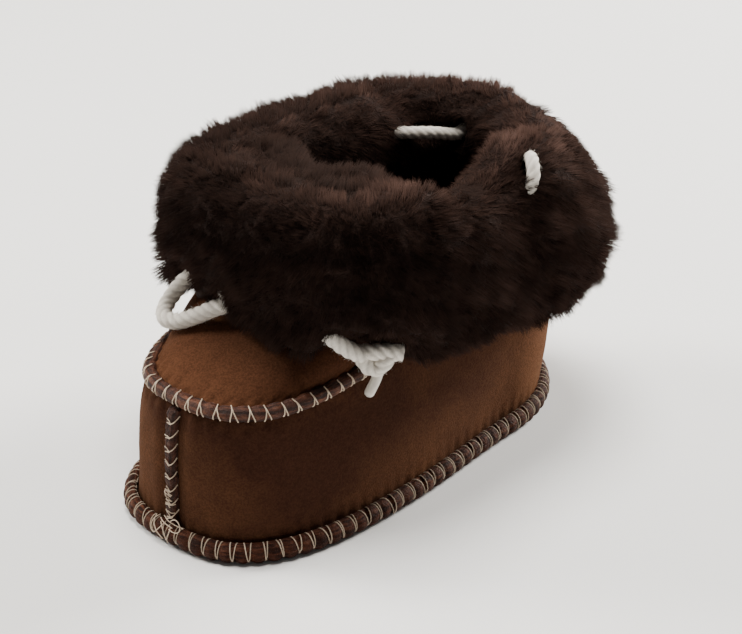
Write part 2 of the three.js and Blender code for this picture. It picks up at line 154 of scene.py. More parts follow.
TAIL_ROUTE = (
    (4.5, -45.8, 62.8), (12, -44.8, 62.8), (20, -43.4, 63.6), (27.4, -41, 62.4), (32, -37.2, 57.8),
    (35.2, -33.2, 54.8),
)
TIP_ROUTE = ((37.4, -29.6, 49.8), (37.6, -31.2, 47.5), (37.4, -33, 45), (37, -34.2, 43))
# Knots: centres, and the turn in degrees of the way that they face
BOW_KNOT_CENTRE = (0, -45.4, 63)
TAIL_KNOT_CENTRE = (37.6, -28.4, 54.4)
KNOT_FACING = 45.6


# Small helpers on arrays

def smooth(share):
    share = np.clip(share, 0.0, 1.0)
    return share * share * (3 - 2 * share)


def near(distance, width):
    """One at no distance, fading to nothing over a few widths."""
    return np.exp(-(distance / width) ** 2)


def unit(vectors):
    return vectors / np.maximum(np.linalg.norm(vectors, axis=-1, keepdims=True), 1e-9)


def rows_at(table, at, closed=False):
    """Rows of a table mixed along a smooth curve through them, at row numbers that may be fractions."""
    table = np.asarray(table, float)
    count = len(table)
    at = np.asarray(at, float)
    if closed:
        at = np.mod(at, count)
    first = np.clip(np.floor(at).astype(int), 0, count - (1 if closed else 2))
    t = (at - first)[..., None]
    a, b, c, d = (
        table[(first + k) % count] if closed else table[np.clip(first + k, 0, count - 1)]
        for k in (-1, 0, 1, 2)
    )
    return b + 0.5 * t * (c - a + t * (2 * a - 5 * b + 4 * c - d + t * (3 * (b - c) + d - a)))


def swell(points, length, seed):
    """Soft bumps and hollows of a given length over points, between about -1 and 1."""
    rng = np.random.default_rng(seed)
    total = np.zeros(points.shape[:-1])
    for _ in range(7):
        way = unit(rng.normal(size=3))
        total += np.sin(points @ way * (2 * math.pi / (length * rng.uniform(0.7, 1.5))) + rng.uniform(0, 6.3))
    return total / 4


# The last

def outline(station, toe, heel, ball, seat):
    """Plan points of an outline. Stations run from 0 at the toe to the heel, negative on the -X side."""
    half = np.abs(station)
    seat_y = heel - SEAT_ROUND * seat
    turn = np.clip(half / TOE_STEPS, 0, 1) * math.pi / 2
    toe_x = ball * np.sin(turn) ** (2 / TOE_POWER)
    toe_y = BALL_Y - (BALL_Y - toe) * np.maximum(np.cos(turn), 0) ** (2 / TOE_POWER)
    along = np.clip((half - TOE_STEPS) / SIDE_STEPS, 0, 1)
    side_x = ball + (seat - ball) * smooth(along)
    side_y = BALL_Y + (seat_y - BALL_Y) * along
    turn = np.clip((half - TOE_STEPS - SIDE_STEPS) / HEEL_STEPS, 0, 1) * math.pi / 2
    heel_x = seat * np.maximum(np.cos(turn), 0) ** (2 / HEEL_POWER)
    heel_y = seat_y + (heel - seat_y) * np.sin(turn) ** (2 / HEEL_POWER)
    spans = [half <= TOE_STEPS, half < TOE_STEPS + SIDE_STEPS]
    x = np.select(spans, [toe_x, side_x], heel_x)
    y = np.select(spans, [toe_y, side_y], heel_y)
    return np.sign(station) * x, y


def wrapped(station):
    return np.mod(np.asarray(station, float) + HEEL_STATION, 2 * HEEL_STATION) - HEEL_STATION


def last(station, row):
    """Points of the last's outer face."""
    station, row = np.broadcast_arrays(wrapped(station), np.asarray(row, float))
    z, rise, toe_in, heel_in, ball_in, seat_in = np.moveaxis(rows_at(LAST, row), -1, 0)
    x, y = outline(
        station, toe_in - SOLE_LENGTH / 2, SOLE_LENGTH / 2 - heel_in,
        BALL_WIDTH / 2 - ball_in, SEAT_WIDTH / 2 - seat_in,
    )
    share = smooth((y - RISE_FROM_Y) / (RISE_TO_Y - RISE_FROM_Y))
    return np.stack([x, y, z + rise * share], -1)


def normals(place, u, v, step_u, step_v, top_v=None):
    """Outward normals of a face given by place(u, v), by small steps. With top_v, v stays from 0 to top_v."""
    above, below = v + step_v, v - step_v
    if top_v is not None:
        above, below = np.minimum(above, top_v), np.maximum(below, 0)
    return unit(np.cross(place(u + step_u, v) - place(u - step_u, v), place(u, above) - place(u, below)))


def last_normal(station, row):
    return normals(last, station, row, step_u=0.03, step_v=0.05, top_v=COLLAR_ROW)


def sole_edge(station, inset):
    """Plan points inside the sole's edge by inset."""
    def edge(at):
        sizes = (-SOLE_LENGTH / 2, SOLE_LENGTH / 2, BALL_WIDTH / 2, SEAT_WIDTH / 2)
        return np.stack(outline(wrapped(at), *sizes), -1)
    step = 0.03
    along = unit(edge(station + step) - edge(station - step))
    return edge(station) + np.stack([-along[..., 1], along[..., 0]], -1) * np.asarray(inset)[..., None]


def arc_lengths(line):
    return np.concatenate([[0.0], np.cumsum(np.linalg.norm(np.diff(line, axis=0), axis=1))])


HALF_STATIONS = np.linspace(0, HEEL_STATION, 3000)
HALF_EDGE = arc_lengths(sole_edge(HALF_STATIONS, 0.0))
SOLE_ROUND = 2 * HALF_EDGE[-1]


def station_round(share):
    """Station at a share of the way round the sole's edge, from the toe by the +X side."""
    share = np.mod(share, 1.0)
    half = np.interp(np.minimum(share, 1 - share) * SOLE_ROUND, HALF_EDGE, HALF_STATIONS)
    return np.where(share <= 0.5, half, -half)


SEAM_END = 13.0
SEAM_STATIONS = np.linspace(-SEAM_END, SEAM_END, 4000)
SEAM_ARC = arc_lengths(last(SEAM_STATIONS, SEAM_ROW))
SEAM_ARC -= SEAM_ARC[len(SEAM_ARC) // 2]


def seam_station(arc):
    return np.interp(arc, SEAM_ARC, SEAM_STATIONS)


def seam_arc(station):
    return np.interp(station, SEAM_STATIONS, SEAM_ARC)


def wall_point(station, height):
    """Point of the last's outer face at a station and a height."""
    rings = np.stack([last(station, row) for row in range(len(LAST))])
    below = np.clip((rings[..., 2] < height).sum(0) - 1, 0, len(LAST) - 2)
    pick = np.arange(len(station))
    low, high = rings[below, pick], rings[below + 1, pick]
    share = np.clip((height - low[:, 2]) / (high[:, 2] - low[:, 2]), 0, 1)[:, None]
    point = low + (high - low) * share
    point[:, 2] = height
    return point


def along_last(station, row):
    """Direction along a ring of the last."""
    step = 0.05
    return unit(last(station + step, row) - last(station - step, row))


def collar_outward(station):
    along = along_last(station, COLLAR_ROW)
    return np.stack([along[:, 1], -along[:, 0], 0 * along[:, 0]], -1)


# Values from the panel, and sewing

def settings():
    return bpy.context.scene.bootie_sizes


def colours():
    return bpy.context.scene.bootie_colours


def millimetres(size):
    """A size from the panel, which keeps metres."""
    return getattr(settings(), size) * 1000


def welt_stitches():
    return round(SOLE_ROUND / settings().welt_pitch / 1000)


def pinch(arc, pitch):
    """One at each stitch, fading between them."""
    away = np.abs(np.mod(arc / pitch + 0.5, 1.0) - 0.5) * pitch
    return near(away, 0.2 * pitch)


def welt_face(share, section):
    """Points of the rolled welt: a share of the way round, and a row of its section."""
    station = station_round(share)
    inset, height = np.moveaxis(rows_at(WELT_SECTION, section, closed=True), -1, 0)
    drawn_in, puffed_out, foot_raised, top_pressed = 0.7, 0.22, 0.9, 0.25
    first_row, last_row, foot_row, top_row = 0.6, 6.6, 1.7, 5.2
    pull = pinch(share * welt_stitches(), 1.0)
    ridge = smooth(np.minimum(section - first_row, last_row - section) / 1.5)
    edge = sole_edge(station, inset + ridge * (drawn_in * pull - puffed_out))
    lift = foot_raised * pull * near(section - foot_row, 1.0)
    lift -= top_pressed * pull * near(section - top_row, 1.0)
    return np.concatenate([edge, np.maximum(height + lift, 0.0)[..., None]], -1)


# The rolled seams of apron and toe, in millimetres: radius, how far the centre stands out of the last, and
# heights of the toe seam's ends
BEAD_RADIUS = 2.1
BEAD_PROUD = 0.35
TOE_FOOT = 5.4
TOE_TOP = 41.4
# Stations at which the apron's rolled seam and its stitches end
BEAD_STATION = 10.6
STITCH_STATION = 10.0


def apron_bead(arc, turn):
    """Points of the rolled apron seam: length along it from the toe, and turn about it from the wall side."""
    station = seam_station(arc)
    climb, climb_from, climb_over = 1.8, 9.2, 1.6
    row = SEAM_ROW + climb * smooth((np.abs(station) - climb_from) / climb_over)
    normal = last_normal(station, row)
    side = np.cross(along_last(station, row), normal)
    pinched, uneven, wider = 0.4, 0.1, 1.1
    radius = BEAD_RADIUS - pinched * pinch(arc, millimetres("seam_pitch")) \
        + uneven * swell(np.stack([arc, 2 * turn, 0 * arc], -1), 9.0, 4)
    centre = last(station, row) + normal * BEAD_PROUD
    upper_crease, lower_crease, wander = 2.3, 1.1, 0.12 * np.sin(arc / 6)
    crease = 1 - 0.14 * near(turn - upper_crease, 0.28) - 0.1 * near(turn - lower_crease - wander, 0.2)
    return centre + side * (wider * radius * crease * np.cos(turn))[:, None] \
        + normal * (radius * crease * np.sin(turn))[:, None]


def toe_bead(height, turn):
    """Points of the raised toe seam: height, and turn about it from the +X side."""
    centre = wall_point(np.zeros_like(height), height)
    wander, pinched, uneven, groove, narrower = 0.35, 0.3, 0.1, 0.2, 0.95
    centre[:, 1] -= BEAD_PROUD
    centre[:, 0] += wander * np.sin(height / 7.0)
    pull = pinch(height - TOE_FOOT, millimetres("toe_pitch"))
    radius = BEAD_RADIUS - pinched * pull + uneven * np.sin(height * 1.3)
    radius = radius * (1 - groove * near(turn - math.pi / 2, 0.35))
    return centre + np.stack([radius * narrower * np.cos(turn), -radius * np.sin(turn), 0 * turn], -1)


# Soft hollows and swellings of the suede: x side, y, height, depth and width
SUEDE_DENTS = (
    (1, -45, 26, -0.9, 17), (1, -10, 22, 0.9, 22), (1, 30, 30, -0.8, 20), (1, 55, 18, 0.7, 14),
    (-1, -40, 24, -0.8, 18), (-1, 5, 26, 0.8, 24), (-1, 45, 24, -0.7, 18), (1, -62, 34, 0.6, 9),
    (-1, -62, 33, 0.6, 9),
)
# Gathers of the suede at the apron seam and at the welt, in millimetres: depth and reach, how far the apron
# seam draws the edge in, and the welt's top
SEAM_GATHER, SEAM_GATHER_REACH, SEAM_TUCK = 0.38, 9.0, 0.35
WELT_GATHER, WELT_GATHER_REACH, WELT_TOP = 0.22, 7.0, 5.0


def suede_relief(points, station, row):
    """How far the suede wall stands out of the last: gathers at the seams and soft dents."""
    x, y, z = np.moveaxis(points, -1, 0)
    relief = 0.22 * swell(points, 26.0, 11) + 0.08 * swell(points, 8.0, 12)
    for side, dent_y, dent_z, depth, width in SUEDE_DENTS:
        away = np.sqrt((y - dent_y) ** 2 + (z - dent_z) ** 2)
        relief += depth * near(away, width) * (np.sign(x) == side)
    front = smooth((SEAM_END - np.abs(station)) / 3)
    below = last(station, SEAM_ROW)[..., 2] - z
    seam = front * smooth(1 - below / SEAM_GATHER_REACH) * (row <= SEAM_ROW)
    relief += seam * (SEAM_GATHER * (1 - 2 * pinch(seam_arc(station), millimetres("seam_pitch"))) - SEAM_TUCK)
    share = np.interp(np.abs(station), HALF_STATIONS, HALF_EDGE) / SOLE_ROUND
    foot = smooth(1 - (z - WELT_TOP) / WELT_GATHER_REACH)
    relief += foot * WELT_GATHER * (1 - 2 * pinch(share * welt_stitches(), 1.0))
    toe_from_y, toe_top, roll_x, rolled_out, sewn_in = -60, 43, 6.5, 0.5, 0.7
    toe = (y < toe_from_y) * smooth((toe_top - z) / 3)
    relief += toe * (rolled_out * near(np.abs(x) - roll_x, 3.0) - sewn_in * near(x, 3.4))
    return relief


# Painted light and shade on the suede: patches where its colour is made paler on lit sides and darker in
# shade, as a shift of the nap's share; x, y, z, change and width
PAINTED_LIGHT_PATCHES = (
    (28, 66, 26, 1.1, 27), (-24, -68, 26, 0.25, 20), (30, -50, 26, -0.6, 24), (40, 5, 26, -0.05, 28),
    (-38, 20, 26, 0.2, 26), (0, 78, 26, 0.3, 22), (30, -30, 38, -0.4, 12), (13, -39, 50, 0.5, 9),
)


def spots(points, table):
    """Sum of soft round spots at points. A spot is its x, y, z, strength and width."""
    total = np.zeros(len(points))
    for *centre, strength, width in table:
        total += strength * near(np.linalg.norm(points - np.array(centre), axis=-1), width)
    return total


# The wool cuff

def cuff_sizes(station):
    table = np.asarray(CUFF)
    at = np.abs(wrapped(station)) / HEEL_STATION
    first = np.clip(np.searchsorted(table[:, 0], at, side="right") - 1, 0, len(table) - 2)
    low, high = table[first], table[first + 1]
    mixed = low + (high - low) * smooth((at - low[:, 0]) / (high[:, 0] - low[:, 0]))[:, None]
    collar = last(station, COLLAR_ROW)
    reach, near_side, far_side, crest, hem, in_hem = mixed[:, 1:].T
    for depth, y, spread in RIM_SAGS:
        crest = crest - (collar[:, 0] > 0) * depth * near(collar[:, 1] - y, spread)
    return reach, np.where(collar[:, 0] > 0, near_side, far_side), crest, hem, in_hem


def cuff_wool(share, section):
    """Points that the wool's tips reach, and the points of the wall that the wool stands on."""
    station = station_round(share)
    reach, within, crest, hem, in_hem = cuff_sizes(station)
    out, up = np.moveaxis(rows_at(CUFF_SECTION, section, closed=True), -1, 0)
    low = np.where(out > 0, hem, in_hem)
    height = low + (crest - low) * up
    outward = collar_outward(station)
    tips = wall_point(station, np.maximum(height, np.minimum(HEM_WALL, crest)))
    tips += outward * (out * np.where(out > 0, reach, within) - WALL / 2)[:, None]
    tips[:, 2] = height
    above_hem, lowest_root, highest_root = 11.0, 78.0, 83.5
    rooted = np.clip(height, np.minimum(low + above_hem, lowest_root), highest_root)
    return tips, wall_point(station, rooted) - outward * (WALL / 2)


def lobe_wool(share, section):
    """Points that the lobe's tips reach across the mouth, and the points that its wool stands on."""
    edge = rows_at(LOBE_EDGE, share * (len(LOBE_EDGE) - 1))
    back, height = np.moveaxis(rows_at(LOBE_SECTION, section), -1, 0)
    tips = np.column_stack([edge[:, 0], edge[:, 1] + back, height])
    core = np.column_stack([edge[:, 0], edge[:, 1] + LOBE_CORE[0], np.full(len(edge), LOBE_CORE[1])])
    return tips, core


# Lobes and clefts of the wool: x, y, z, share of the wool's depth and width
WOOL_LOBES = (
    (46, -28, 74, -0.10, 9), (43, -32, 62, -0.08, 8), (0, -52, 88, 0.07, 14), (52, 42, 88, 0.09, 14),
    (30, -46, 76, -0.06, 8), (50, 5, 84, 0.07, 14), (40, -38, 66, 0.06, 9), (57, 22, 66, -0.07, 9),
    (-30, -44, 76, 0.06, 14), (-54, 0, 72, -0.08, 10), (-52, 30, 84, 0.07, 14), (-36, 66, 72, -0.07, 10),
    (8, 88, 80, 0.06, 14), (34, 74, 62, -0.07, 9), (12, -12, 98, 0.05, 10), (-14, -50, 66, -0.05, 7),
)


def wool_lumps(points):
    """Soft lobes of the wool, as a share of its depth."""
    lumps = 0.04 * swell(points, 26.0, 21) + 0.045 * swell(points, 12.0, 22) + 0.03 * swell(points, 5.5, 23)
    return lumps + spots(points, WOOL_LOBES)


# Meshes

def show(name, data):
    thing = bpy.data.objects.new(name, data)
    bpy.context.scene.collection.objects.link(thing)
    return thing


def keep_piece(mesh, finish, slot, *replaces):
    """Put a mesh in the scene as a piece of the bootie of the same name."""
    piece = show(mesh.name, mesh)
    mesh.materials.clear()
    mesh.materials.append(finish_named(finish))
    mesh.shade_smooth()
    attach(piece, BODY)
    if replaces:
        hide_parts(*replaces)
    return piece


def mesh_of(bm, name):
    mesh = bpy.data.meshes.new(name)
    bm.to_mesh(mesh)
    bm.free()
    return mesh


def sheet_mesh(name, across, along, place, keep=None, caps=False, closed=False):
    """A grid of quads laid by place(u, v), where u and v run from 0 to 1, with meeting edges joined."""
    bm = bmesh.new()
    bm.loops.layers.uv.new("UVMap")
    bmesh.ops.create_grid(bm, x_segments=across, y_segments=along, size=0.5, calc_uvs=True)
    flat = np.array([vert.co[:2] for vert in bm.verts])
    flat = (flat - flat.min(0)) / (flat.max(0) - flat.min(0))
    if keep is not None:
        shares = dict(zip(bm.verts, flat))
        spare = [face for face in bm.faces if not keep(*np.mean([shares[v] for v in face.verts], axis=0))]
    for vert, point in zip(bm.verts, place(flat[:, 0], flat[:, 1]) * MM):
        vert.co = point
    if keep is not None:
        bmesh.ops.delete(bm, geom=spare, context="FACES")
    bmesh.ops.remove_doubles(bm, verts=bm.verts[:], dist=2e-6)
    if caps:
        bmesh.ops.holes_fill(bm, edges=[edge for edge in bm.edges if edge.is_boundary], sides=0)
    if caps or closed:
        bmesh.ops.recalc_face_normals(bm, faces=bm.faces[:])
    return mesh_of(bm, name)


def thicken(piece, thickness):
    wall = piece.modifiers.new("Thickness", "SOLIDIFY")
    wall.thickness = thickness * MM
    wall.offset = -1


def sew(name, paths, radius, finish="thread"):
    """Short runs of thread along paths, joined in one piece."""
    line = bpy.data.curves.new(name, "CURVE")
    line.dimensions = "3D"
    line.bevel_depth = radius * MM
    line.bevel_resolution = 1
    line.use_fill_caps = True
    for path in paths:
        run = line.splines.new("POLY")
        run.points.add(len(path) - 1)
        run.points.foreach_set("co", np.column_stack([np.asarray(path) * MM, np.ones(len(path))]).ravel())
    holder = bpy.data.objects.new(name, line)
    mesh = bpy.data.meshes.new_from_object(holder)
    bpy.data.objects.remove(holder)
    bpy.data.curves.remove(line)
    mesh.name = name
    keep_piece(mesh, finish, "cotton")


def route_line(route, spacing):
    """Evenly spaced points on a smooth curve through a route."""
    points = np.asarray(route, float)
    points = np.vstack([2 * points[0] - points[1], points, 2 * points[-1] - points[-2]])
    gaps = np.sqrt(np.linalg.norm(np.diff(points, axis=0), axis=1))
    line = []
    for i in range(1, len(points) - 2):
        a, b, c, d = points[i - 1:i + 3]
        before, span, after = gaps[i - 1:i + 2]
        leave = ((b - a) / before - (c - a) / (before + span) + (c - b) / span) * span
        arrive = ((c - b) / span - (d - b) / (span + after) + (d - c) / after) * span
        t = np.linspace(0, 1, 24, endpoint=False)[:, None]
        line.append(b + leave * t + (3 * (c - b) - 2 * leave - arrive) * t ** 2
                    + (2 * (b - c) + leave + arrive) * t ** 3)
    line = np.vstack([*line, points[-2:-1]])
    length = arc_lengths(line)
    even = np.linspace(0, length[-1], max(2, round(length[-1] / spacing)) + 1)
    return np.stack([np.interp(even, length, line[:, k]) for k in range(3)], -1)


def line_frames(line):
    """Two directions across a line at each point, carried along it without twist."""
    tangents = unit(np.gradient(line, axis=0))
    side = unit(np.cross(tangents[0], [0.31, 0.22, 0.92]))
    sides = []
    for tangent in tangents:
        side = unit(side - tangent * (side @ tangent))
        sides.append(side)
    sides = np.array(sides)
    return sides, np.cross(tangents, sides)


# Cord section: its strands, its sides, and shares of its radius from its axis to a strand's and of a strand
CORD_STRANDS = 4
CORD_SIDES = 28
STRAND_AXIS = 0.43
STRAND_RADIUS = 0.57


def cord_mesh(name, line, radius, round_tip=False, twist=True):
    """A twisted cord along a line, as one skin with a lobe for each strand."""
    sides, ups = line_frames(line)
    length = arc_lengths(line)
    steps = len(line) - 1
    helix, strand = STRAND_AXIS * radius, STRAND_RADIUS * radius
    half_lobe = math.pi / CORD_STRANDS

    def place(u, v):
        i = np.round(u * steps).astype(int)
        turn = v * 2 * math.pi
        about = turn - (2 * math.pi / millimetres("cord_lay")) * length[i]
        lobe = np.mod(about + half_lobe, 2 * half_lobe) - half_lobe
        within = strand ** 2 - (helix * np.sin(lobe)) ** 2
        reach = helix * np.cos(lobe) + np.sqrt(np.maximum(within, 0.01 * radius ** 2))
        if not twist:
            reach = np.full_like(turn, radius)
        if round_tip:
            left = np.clip((length[-1] - length[i]) / radius, 0, 1)
            reach = reach * np.sqrt(np.maximum(1 - (1 - left) ** 2, 0.0025))
        return line[i] + sides[i] * (reach * np.cos(turn))[:, None] + ups[i] * (reach * np.sin(turn))[:, None]

    mesh = sheet_mesh(name, steps, CORD_SIDES, place, caps=True)
    # How deep each point lies in the grooves between the strands, for painted shade there
    set_number(mesh, "groove", 1 - gap_to(mesh_points(mesh), line) / radius)
    return mesh


# Finishes

def fill(tree, node, inputs):
    """Set a node's inputs: a link from a socket, or else a value."""
    for key, value in inputs.items():
        if isinstance(value, bpy.types.NodeSocket):
            tree.links.new(value, node.inputs[key])
        else:
            node.inputs[key].default_value = value


def add_node(tree, kind, inputs=(), **values):
    """Add a shader node and give its outputs."""
    node = tree.nodes.new("ShaderNode" + kind)
    for key, value in values.items():
        setattr(node, key, value)
    fill(tree, node, dict(inputs))
    return node.outputs


def noise(tree, vector, scale, detail=3.0, roughness=0.55, distortion=0.0):
    return add_node(tree, "TexNoise", {
        "Vector": vector, "Scale": scale, "Detail": detail, "Roughness": roughness, "Distortion": distortion,
    })["Fac"]


def number(tree, name):
    """A number stored on the mesh."""
    return add_node(tree, "Attribute", attribute_name=name)["Fac"]


def stretched(tree, along, across):
    """The mesh's own coordinates, scaled along and across it."""
    uv = add_node(tree, "UVMap", uv_map="UVMap")["UV"]
    return add_node(tree, "Mapping", {"Vector": uv, "Scale": (along, across, 1.0)})["Vector"]


def calc(tree, operation, first, second, clamp=False):
    return add_node(tree, "Math", {0: first, 1: second}, operation=operation, use_clamp=clamp)[0]


def weigh(tree, first, second, share):
    """A mean of two values, in which the second has that share."""
    first = calc(tree, "MULTIPLY", first, 1 - share)
    return calc(tree, "ADD", first, calc(tree, "MULTIPLY", second, share))


def spread(tree, value, low, high, to_low=0.0, to_high=1.0):
    return add_node(tree, "MapRange", {
        "Value": value, "From Min": low, "From Max": high, "To Min": to_low, "To Max": to_high,
    })["Result"]


def blend(tree, share, first, second):
    return add_node(tree, "Mix", {0: share, 6: first, 7: second}, data_type="RGBA")[2]


def bump(tree, height, strength, distance):
    return add_node(tree, "Bump", {"Height": height, "Strength": strength, "Distance": distance})["Normal"]


def tint(colour, dimmed=1.0):
    """A colour with its alpha."""
    return (*(dimmed * c for c in colour[:3]), 1.0)


def make_group(name, tints, numbers, outputs, build):
    """A shader node group; build gets its tree and inputs, and gives a socket for each output."""
    group = bpy.data.node_groups.get(name)
    if group:
        return group
    group = bpy.data.node_groups.new(name, "ShaderNodeTree")

    def declare(label, way, kind):
        return group.interface.new_socket(name=label, in_out=way, socket_type="NodeSocket" + kind)

    declare("Vector", "INPUT", "Vector")
    for label in tints:
        declare(label, "INPUT", "Color")
    for label, value in numbers.items():
        declare(label, "INPUT", "Float").default_value = value
    for label in outputs:
        declare(label, "OUTPUT", "Color" if label == "Color" else "Float")
    source = group.nodes.new("NodeGroupInput")
    sink = group.nodes.new("NodeGroupOutput")
    fill(group, sink, build(group, source.outputs))
    return group


def nap_group():
    """Brushed suede: soft patches where the nap lies one way or the other, and fine fibres, with painted
    light and shade added to the nap's share from an input.
    """
    def build(tree, given):
        vector = given["Vector"]
        patches = noise(tree, vector, given["Patch Scale"], detail=4.0, roughness=0.6, distortion=0.6)
        strokes = noise(tree, vector, 190.0, roughness=0.6, distortion=1.2)
        lie = weigh(tree, patches, strokes, 0.15)
        # Painted light and shade shift the share between the dark and the light colour
        brushed = calc(tree, "ADD", spread(tree, lie, 0.3, 0.7, 0.02, 0.7), given["Nap And Painted Light"], clamp=True)
        fibres = noise(tree, vector, 1600.0, roughness=0.7)
        fleck = weigh(tree, fibres, noise(tree, vector, 560.0, detail=2.0, roughness=0.6), 0.15)
        shade = add_node(tree, "VectorMath", {
            0: blend(tree, brushed, given["Dark"], given["Light"]),
            "Scale": spread(tree, fleck, 0.4, 0.6, 0.74, 1.26),
        }, operation="SCALE")[0]
        return {"Color": shade, "Height": fleck}
    return make_group(
        "Suede Nap", ("Light", "Dark"), {"Nap And Painted Light": 0.0, "Patch Scale": 38.0}, ("Color", "Height"), build
    )


def grain_group():
    """Smooth leather: fine cells and a few longer creases."""
    def build(tree, given):
        vector = given["Vector"]
        cells = add_node(
            tree, "TexVoronoi", {"Vector": vector, "Scale": given["Scale"]}, feature="DISTANCE_TO_EDGE"
        )["Distance"]
        cracks = noise(tree, vector, 260.0, detail=4.0, roughness=0.6, distortion=1.5)
        mask = weigh(tree, cracks, given["Folds"], 0.65)
        return {"Height": weigh(tree, spread(tree, cells, 0.0, 0.12), mask, 0.85), "Mask": mask}
    return make_group("Leather Grain", (), {"Scale": 900.0, "Folds": 0.5}, ("Height", "Mask"), build)


def rub_group():
    """Paler rubbed spots where a mask is high, broken up by noise."""
    def build(tree, given):
        broken = noise(tree, given["Vector"], 420.0, detail=4.0, roughness=0.65)
        share = calc(tree, "MULTIPLY", given["Mask"], spread(tree, broken, 0.4, 0.62))
        share = calc(tree, "MULTIPLY", share, given["Amount"], clamp=True)
        return {"Color": blend(tree, share, given["Color"], given["Rubbed"])}
    return make_group("Rubbed Edge", ("Color", "Rubbed"), {"Mask": 0.0, "Amount": 0.6}, ("Color",), build)


def fibre_group():
    """Spun cotton: fibres drawn out along the yarn, and soft soiling."""
    def build(tree, given):
        fibres = noise(tree, given["Vector"], given["Scale"], detail=4.0, roughness=0.7, distortion=0.8)
        soil = noise(tree, given["Vector"], 120.0)
        shade = blend(tree, spread(tree, soil, 0.35, 0.75, 0.0, 0.5), given["Color"], given["Soil"])
        shade = blend(tree, spread(tree, fibres, 0.3, 0.7, 0.35, 0.0), shade, given["Soil"])
        return {"Color": shade, "Height": fibres}
    return make_group("Spun Cotton", ("Color", "Soil"), {"Scale": 1400.0}, ("Color", "Height"), build)


def set_shader(tree, inputs):
    fill(tree, tree.nodes["Principled BSDF"], inputs)


def start_finish(name, roughness, specular, sheen=0.0, sheen_tint=(1, 1, 1)):
    """A new finish's node tree, and the object coordinates in it."""
    finish = bpy.data.materials.new(name)
    finish.use_nodes = True
    tree = finish.node_tree
    set_shader(tree, {
        "Roughness": roughness, "Specular IOR Level": specular, "Sheen Weight": sheen,
        "Sheen Tint": tint(sheen_tint),
    })
    return tree, add_node(tree, "TexCoord")["Object"]


def suede_finish(name, light, dark, patch=38.0):
    tree, vector = start_finish(name, roughness=0.95, specular=0.04, sheen=0.08, sheen_tint=(0.8, 0.4, 0.2))
    # The mesh's attribute brings painted light and shade into the nap's colour
    nap_and_painted_light = add_node(tree, "Group", {
        "Vector": vector, "Light": tint(light), "Dark": tint(dark), "Nap And Painted Light": number(tree, "nap_and_painted_light"),
        "Patch Scale": patch,
    }, node_tree=nap_group())
    worn = add_node(tree, "Group", {
        "Vector": vector, "Color": nap_and_painted_light["Color"], "Rubbed": tint(light, 1.5), "Mask": number(tree, "rub"),
        "Amount": 0.5,
    }, node_tree=rub_group())
    set_shader(tree, {
        "Base Color": worn["Color"], "Normal": bump(tree, nap_and_painted_light["Height"], strength=0.6, distance=0.0005),
    })


def seam_finish(name, shade, folds_along, folds_round, specular):
    """Rolled leather with folds that run along it, counted along its length and round it. Its creases are
    darkened as painted shade, and its fold ridges are paler, partly wear and partly painted highlight.
    """
    given = colours()
    leathers = (given.seam_dark_and_crease_shade, given.seam_light, given.seam_rubbed_and_highlight)
    dark, light, rubbed = (tint(leather, shade) for leather in leathers)
    tree, vector = start_finish(name, 0.6, specular)
    folds = noise(
        tree, stretched(tree, folds_along, folds_round), 1.0, detail=5.0, roughness=0.62, distortion=0.4
    )
    grain = add_node(
        tree, "Group", {"Vector": vector, "Scale": 900.0, "Folds": folds}, node_tree=grain_group()
    )
    worn = add_node(tree, "Group", {
        "Vector": vector, "Rubbed": rubbed, "Amount": 1.0,
        "Color": blend(tree, spread(tree, grain["Mask"], 0.41, 0.58), dark, light),
        "Mask": calc(tree, "MULTIPLY", number(tree, "rub"), spread(tree, grain["Mask"], 0.46, 0.6)),
    }, node_tree=rub_group())
    set_shader(tree, {
        "Base Color": worn["Color"], "Roughness": spread(tree, grain["Mask"], 0.3, 0.7, 0.7, 0.48),
        "Normal": bump(tree, grain["Height"], strength=0.8, distance=0.0012),
    })


def cotton_finish(name, colour, soil, scale, roughness=0.9, relief=0.5, drawn_out=False):
    tree, vector = start_finish(name, roughness, specular=0.25, sheen=0.15)
    if drawn_out:
        vector = stretched(tree, 0.4, 0.06)
    spun = add_node(
        tree, "Group", {"Vector": vector, "Color": tint(colour), "Soil": tint(soil), "Scale": scale},
        node_tree=fibre_group(),
    )
    # Painted shade in the grooves between a cord's strands
    groove = spread(tree, number(tree, "groove"), 0.05, 0.22, 0.0, 0.6)
    set_shader(tree, {
        "Base Color": blend(tree, groove, spun["Color"], tint(soil, 0.7)),
        "Normal": bump(tree, spun["Height"], relief, distance=0.0004),
    })


def strand_finish(name):
    given = colours()
    tree, _ = start_finish(name, roughness=0.8, specular=0.04)
    tone_and_painted_light = number(tree, "tone_and_painted_light")
    # Strands run from the root colour to the tip colour. A high tone blends towards the faded colour, which
    # also paints light on the crest and in the unlit mouth; a low tone blends back towards the root colour,
    # which paints shade.
    shade = blend(
        tree, spread(tree, number(tree, "along"), 0.15, 1.0), tint(given.wool_root_and_painted_shade), tint(given.wool_tip)
    )
    shade = blend(tree, spread(tree, tone_and_painted_light, 0.45, 1.0, 0.0, 0.8), shade, tint(given.wool_faded_and_painted_light))
    shade = blend(tree, spread(tree, tone_and_painted_light, 0.45, 0.0, 0.0, 0.7), shade, tint(given.wool_root_and_painted_shade))
    set_shader(tree, {"Base Color": shade})


def pelt_finish(name, colour):
    tree, vector = start_finish(name, roughness=0.95, specular=0.1)
    curl = noise(tree, vector, 320.0, detail=4.0, roughness=0.65, distortion=1.2)
    set_shader(tree, {
        "Base Color": blend(tree, spread(tree, curl, 0.35, 0.7), tint(colour, 0.4), tint(colour, 0.8)),
        "Normal": bump(tree, curl, strength=0.9, distance=0.003),
    })


def floor_finish(name):
    tree, vector = start_finish(name, roughness=0.8, specular=0.2)
    mottle = spread(tree, noise(tree, vector, 6.0), 0.3, 0.7)
    colour = colours().floor
    set_shader(tree, {"Base Color": blend(tree, mottle, tint(colour, 0.98), tint(colour))})


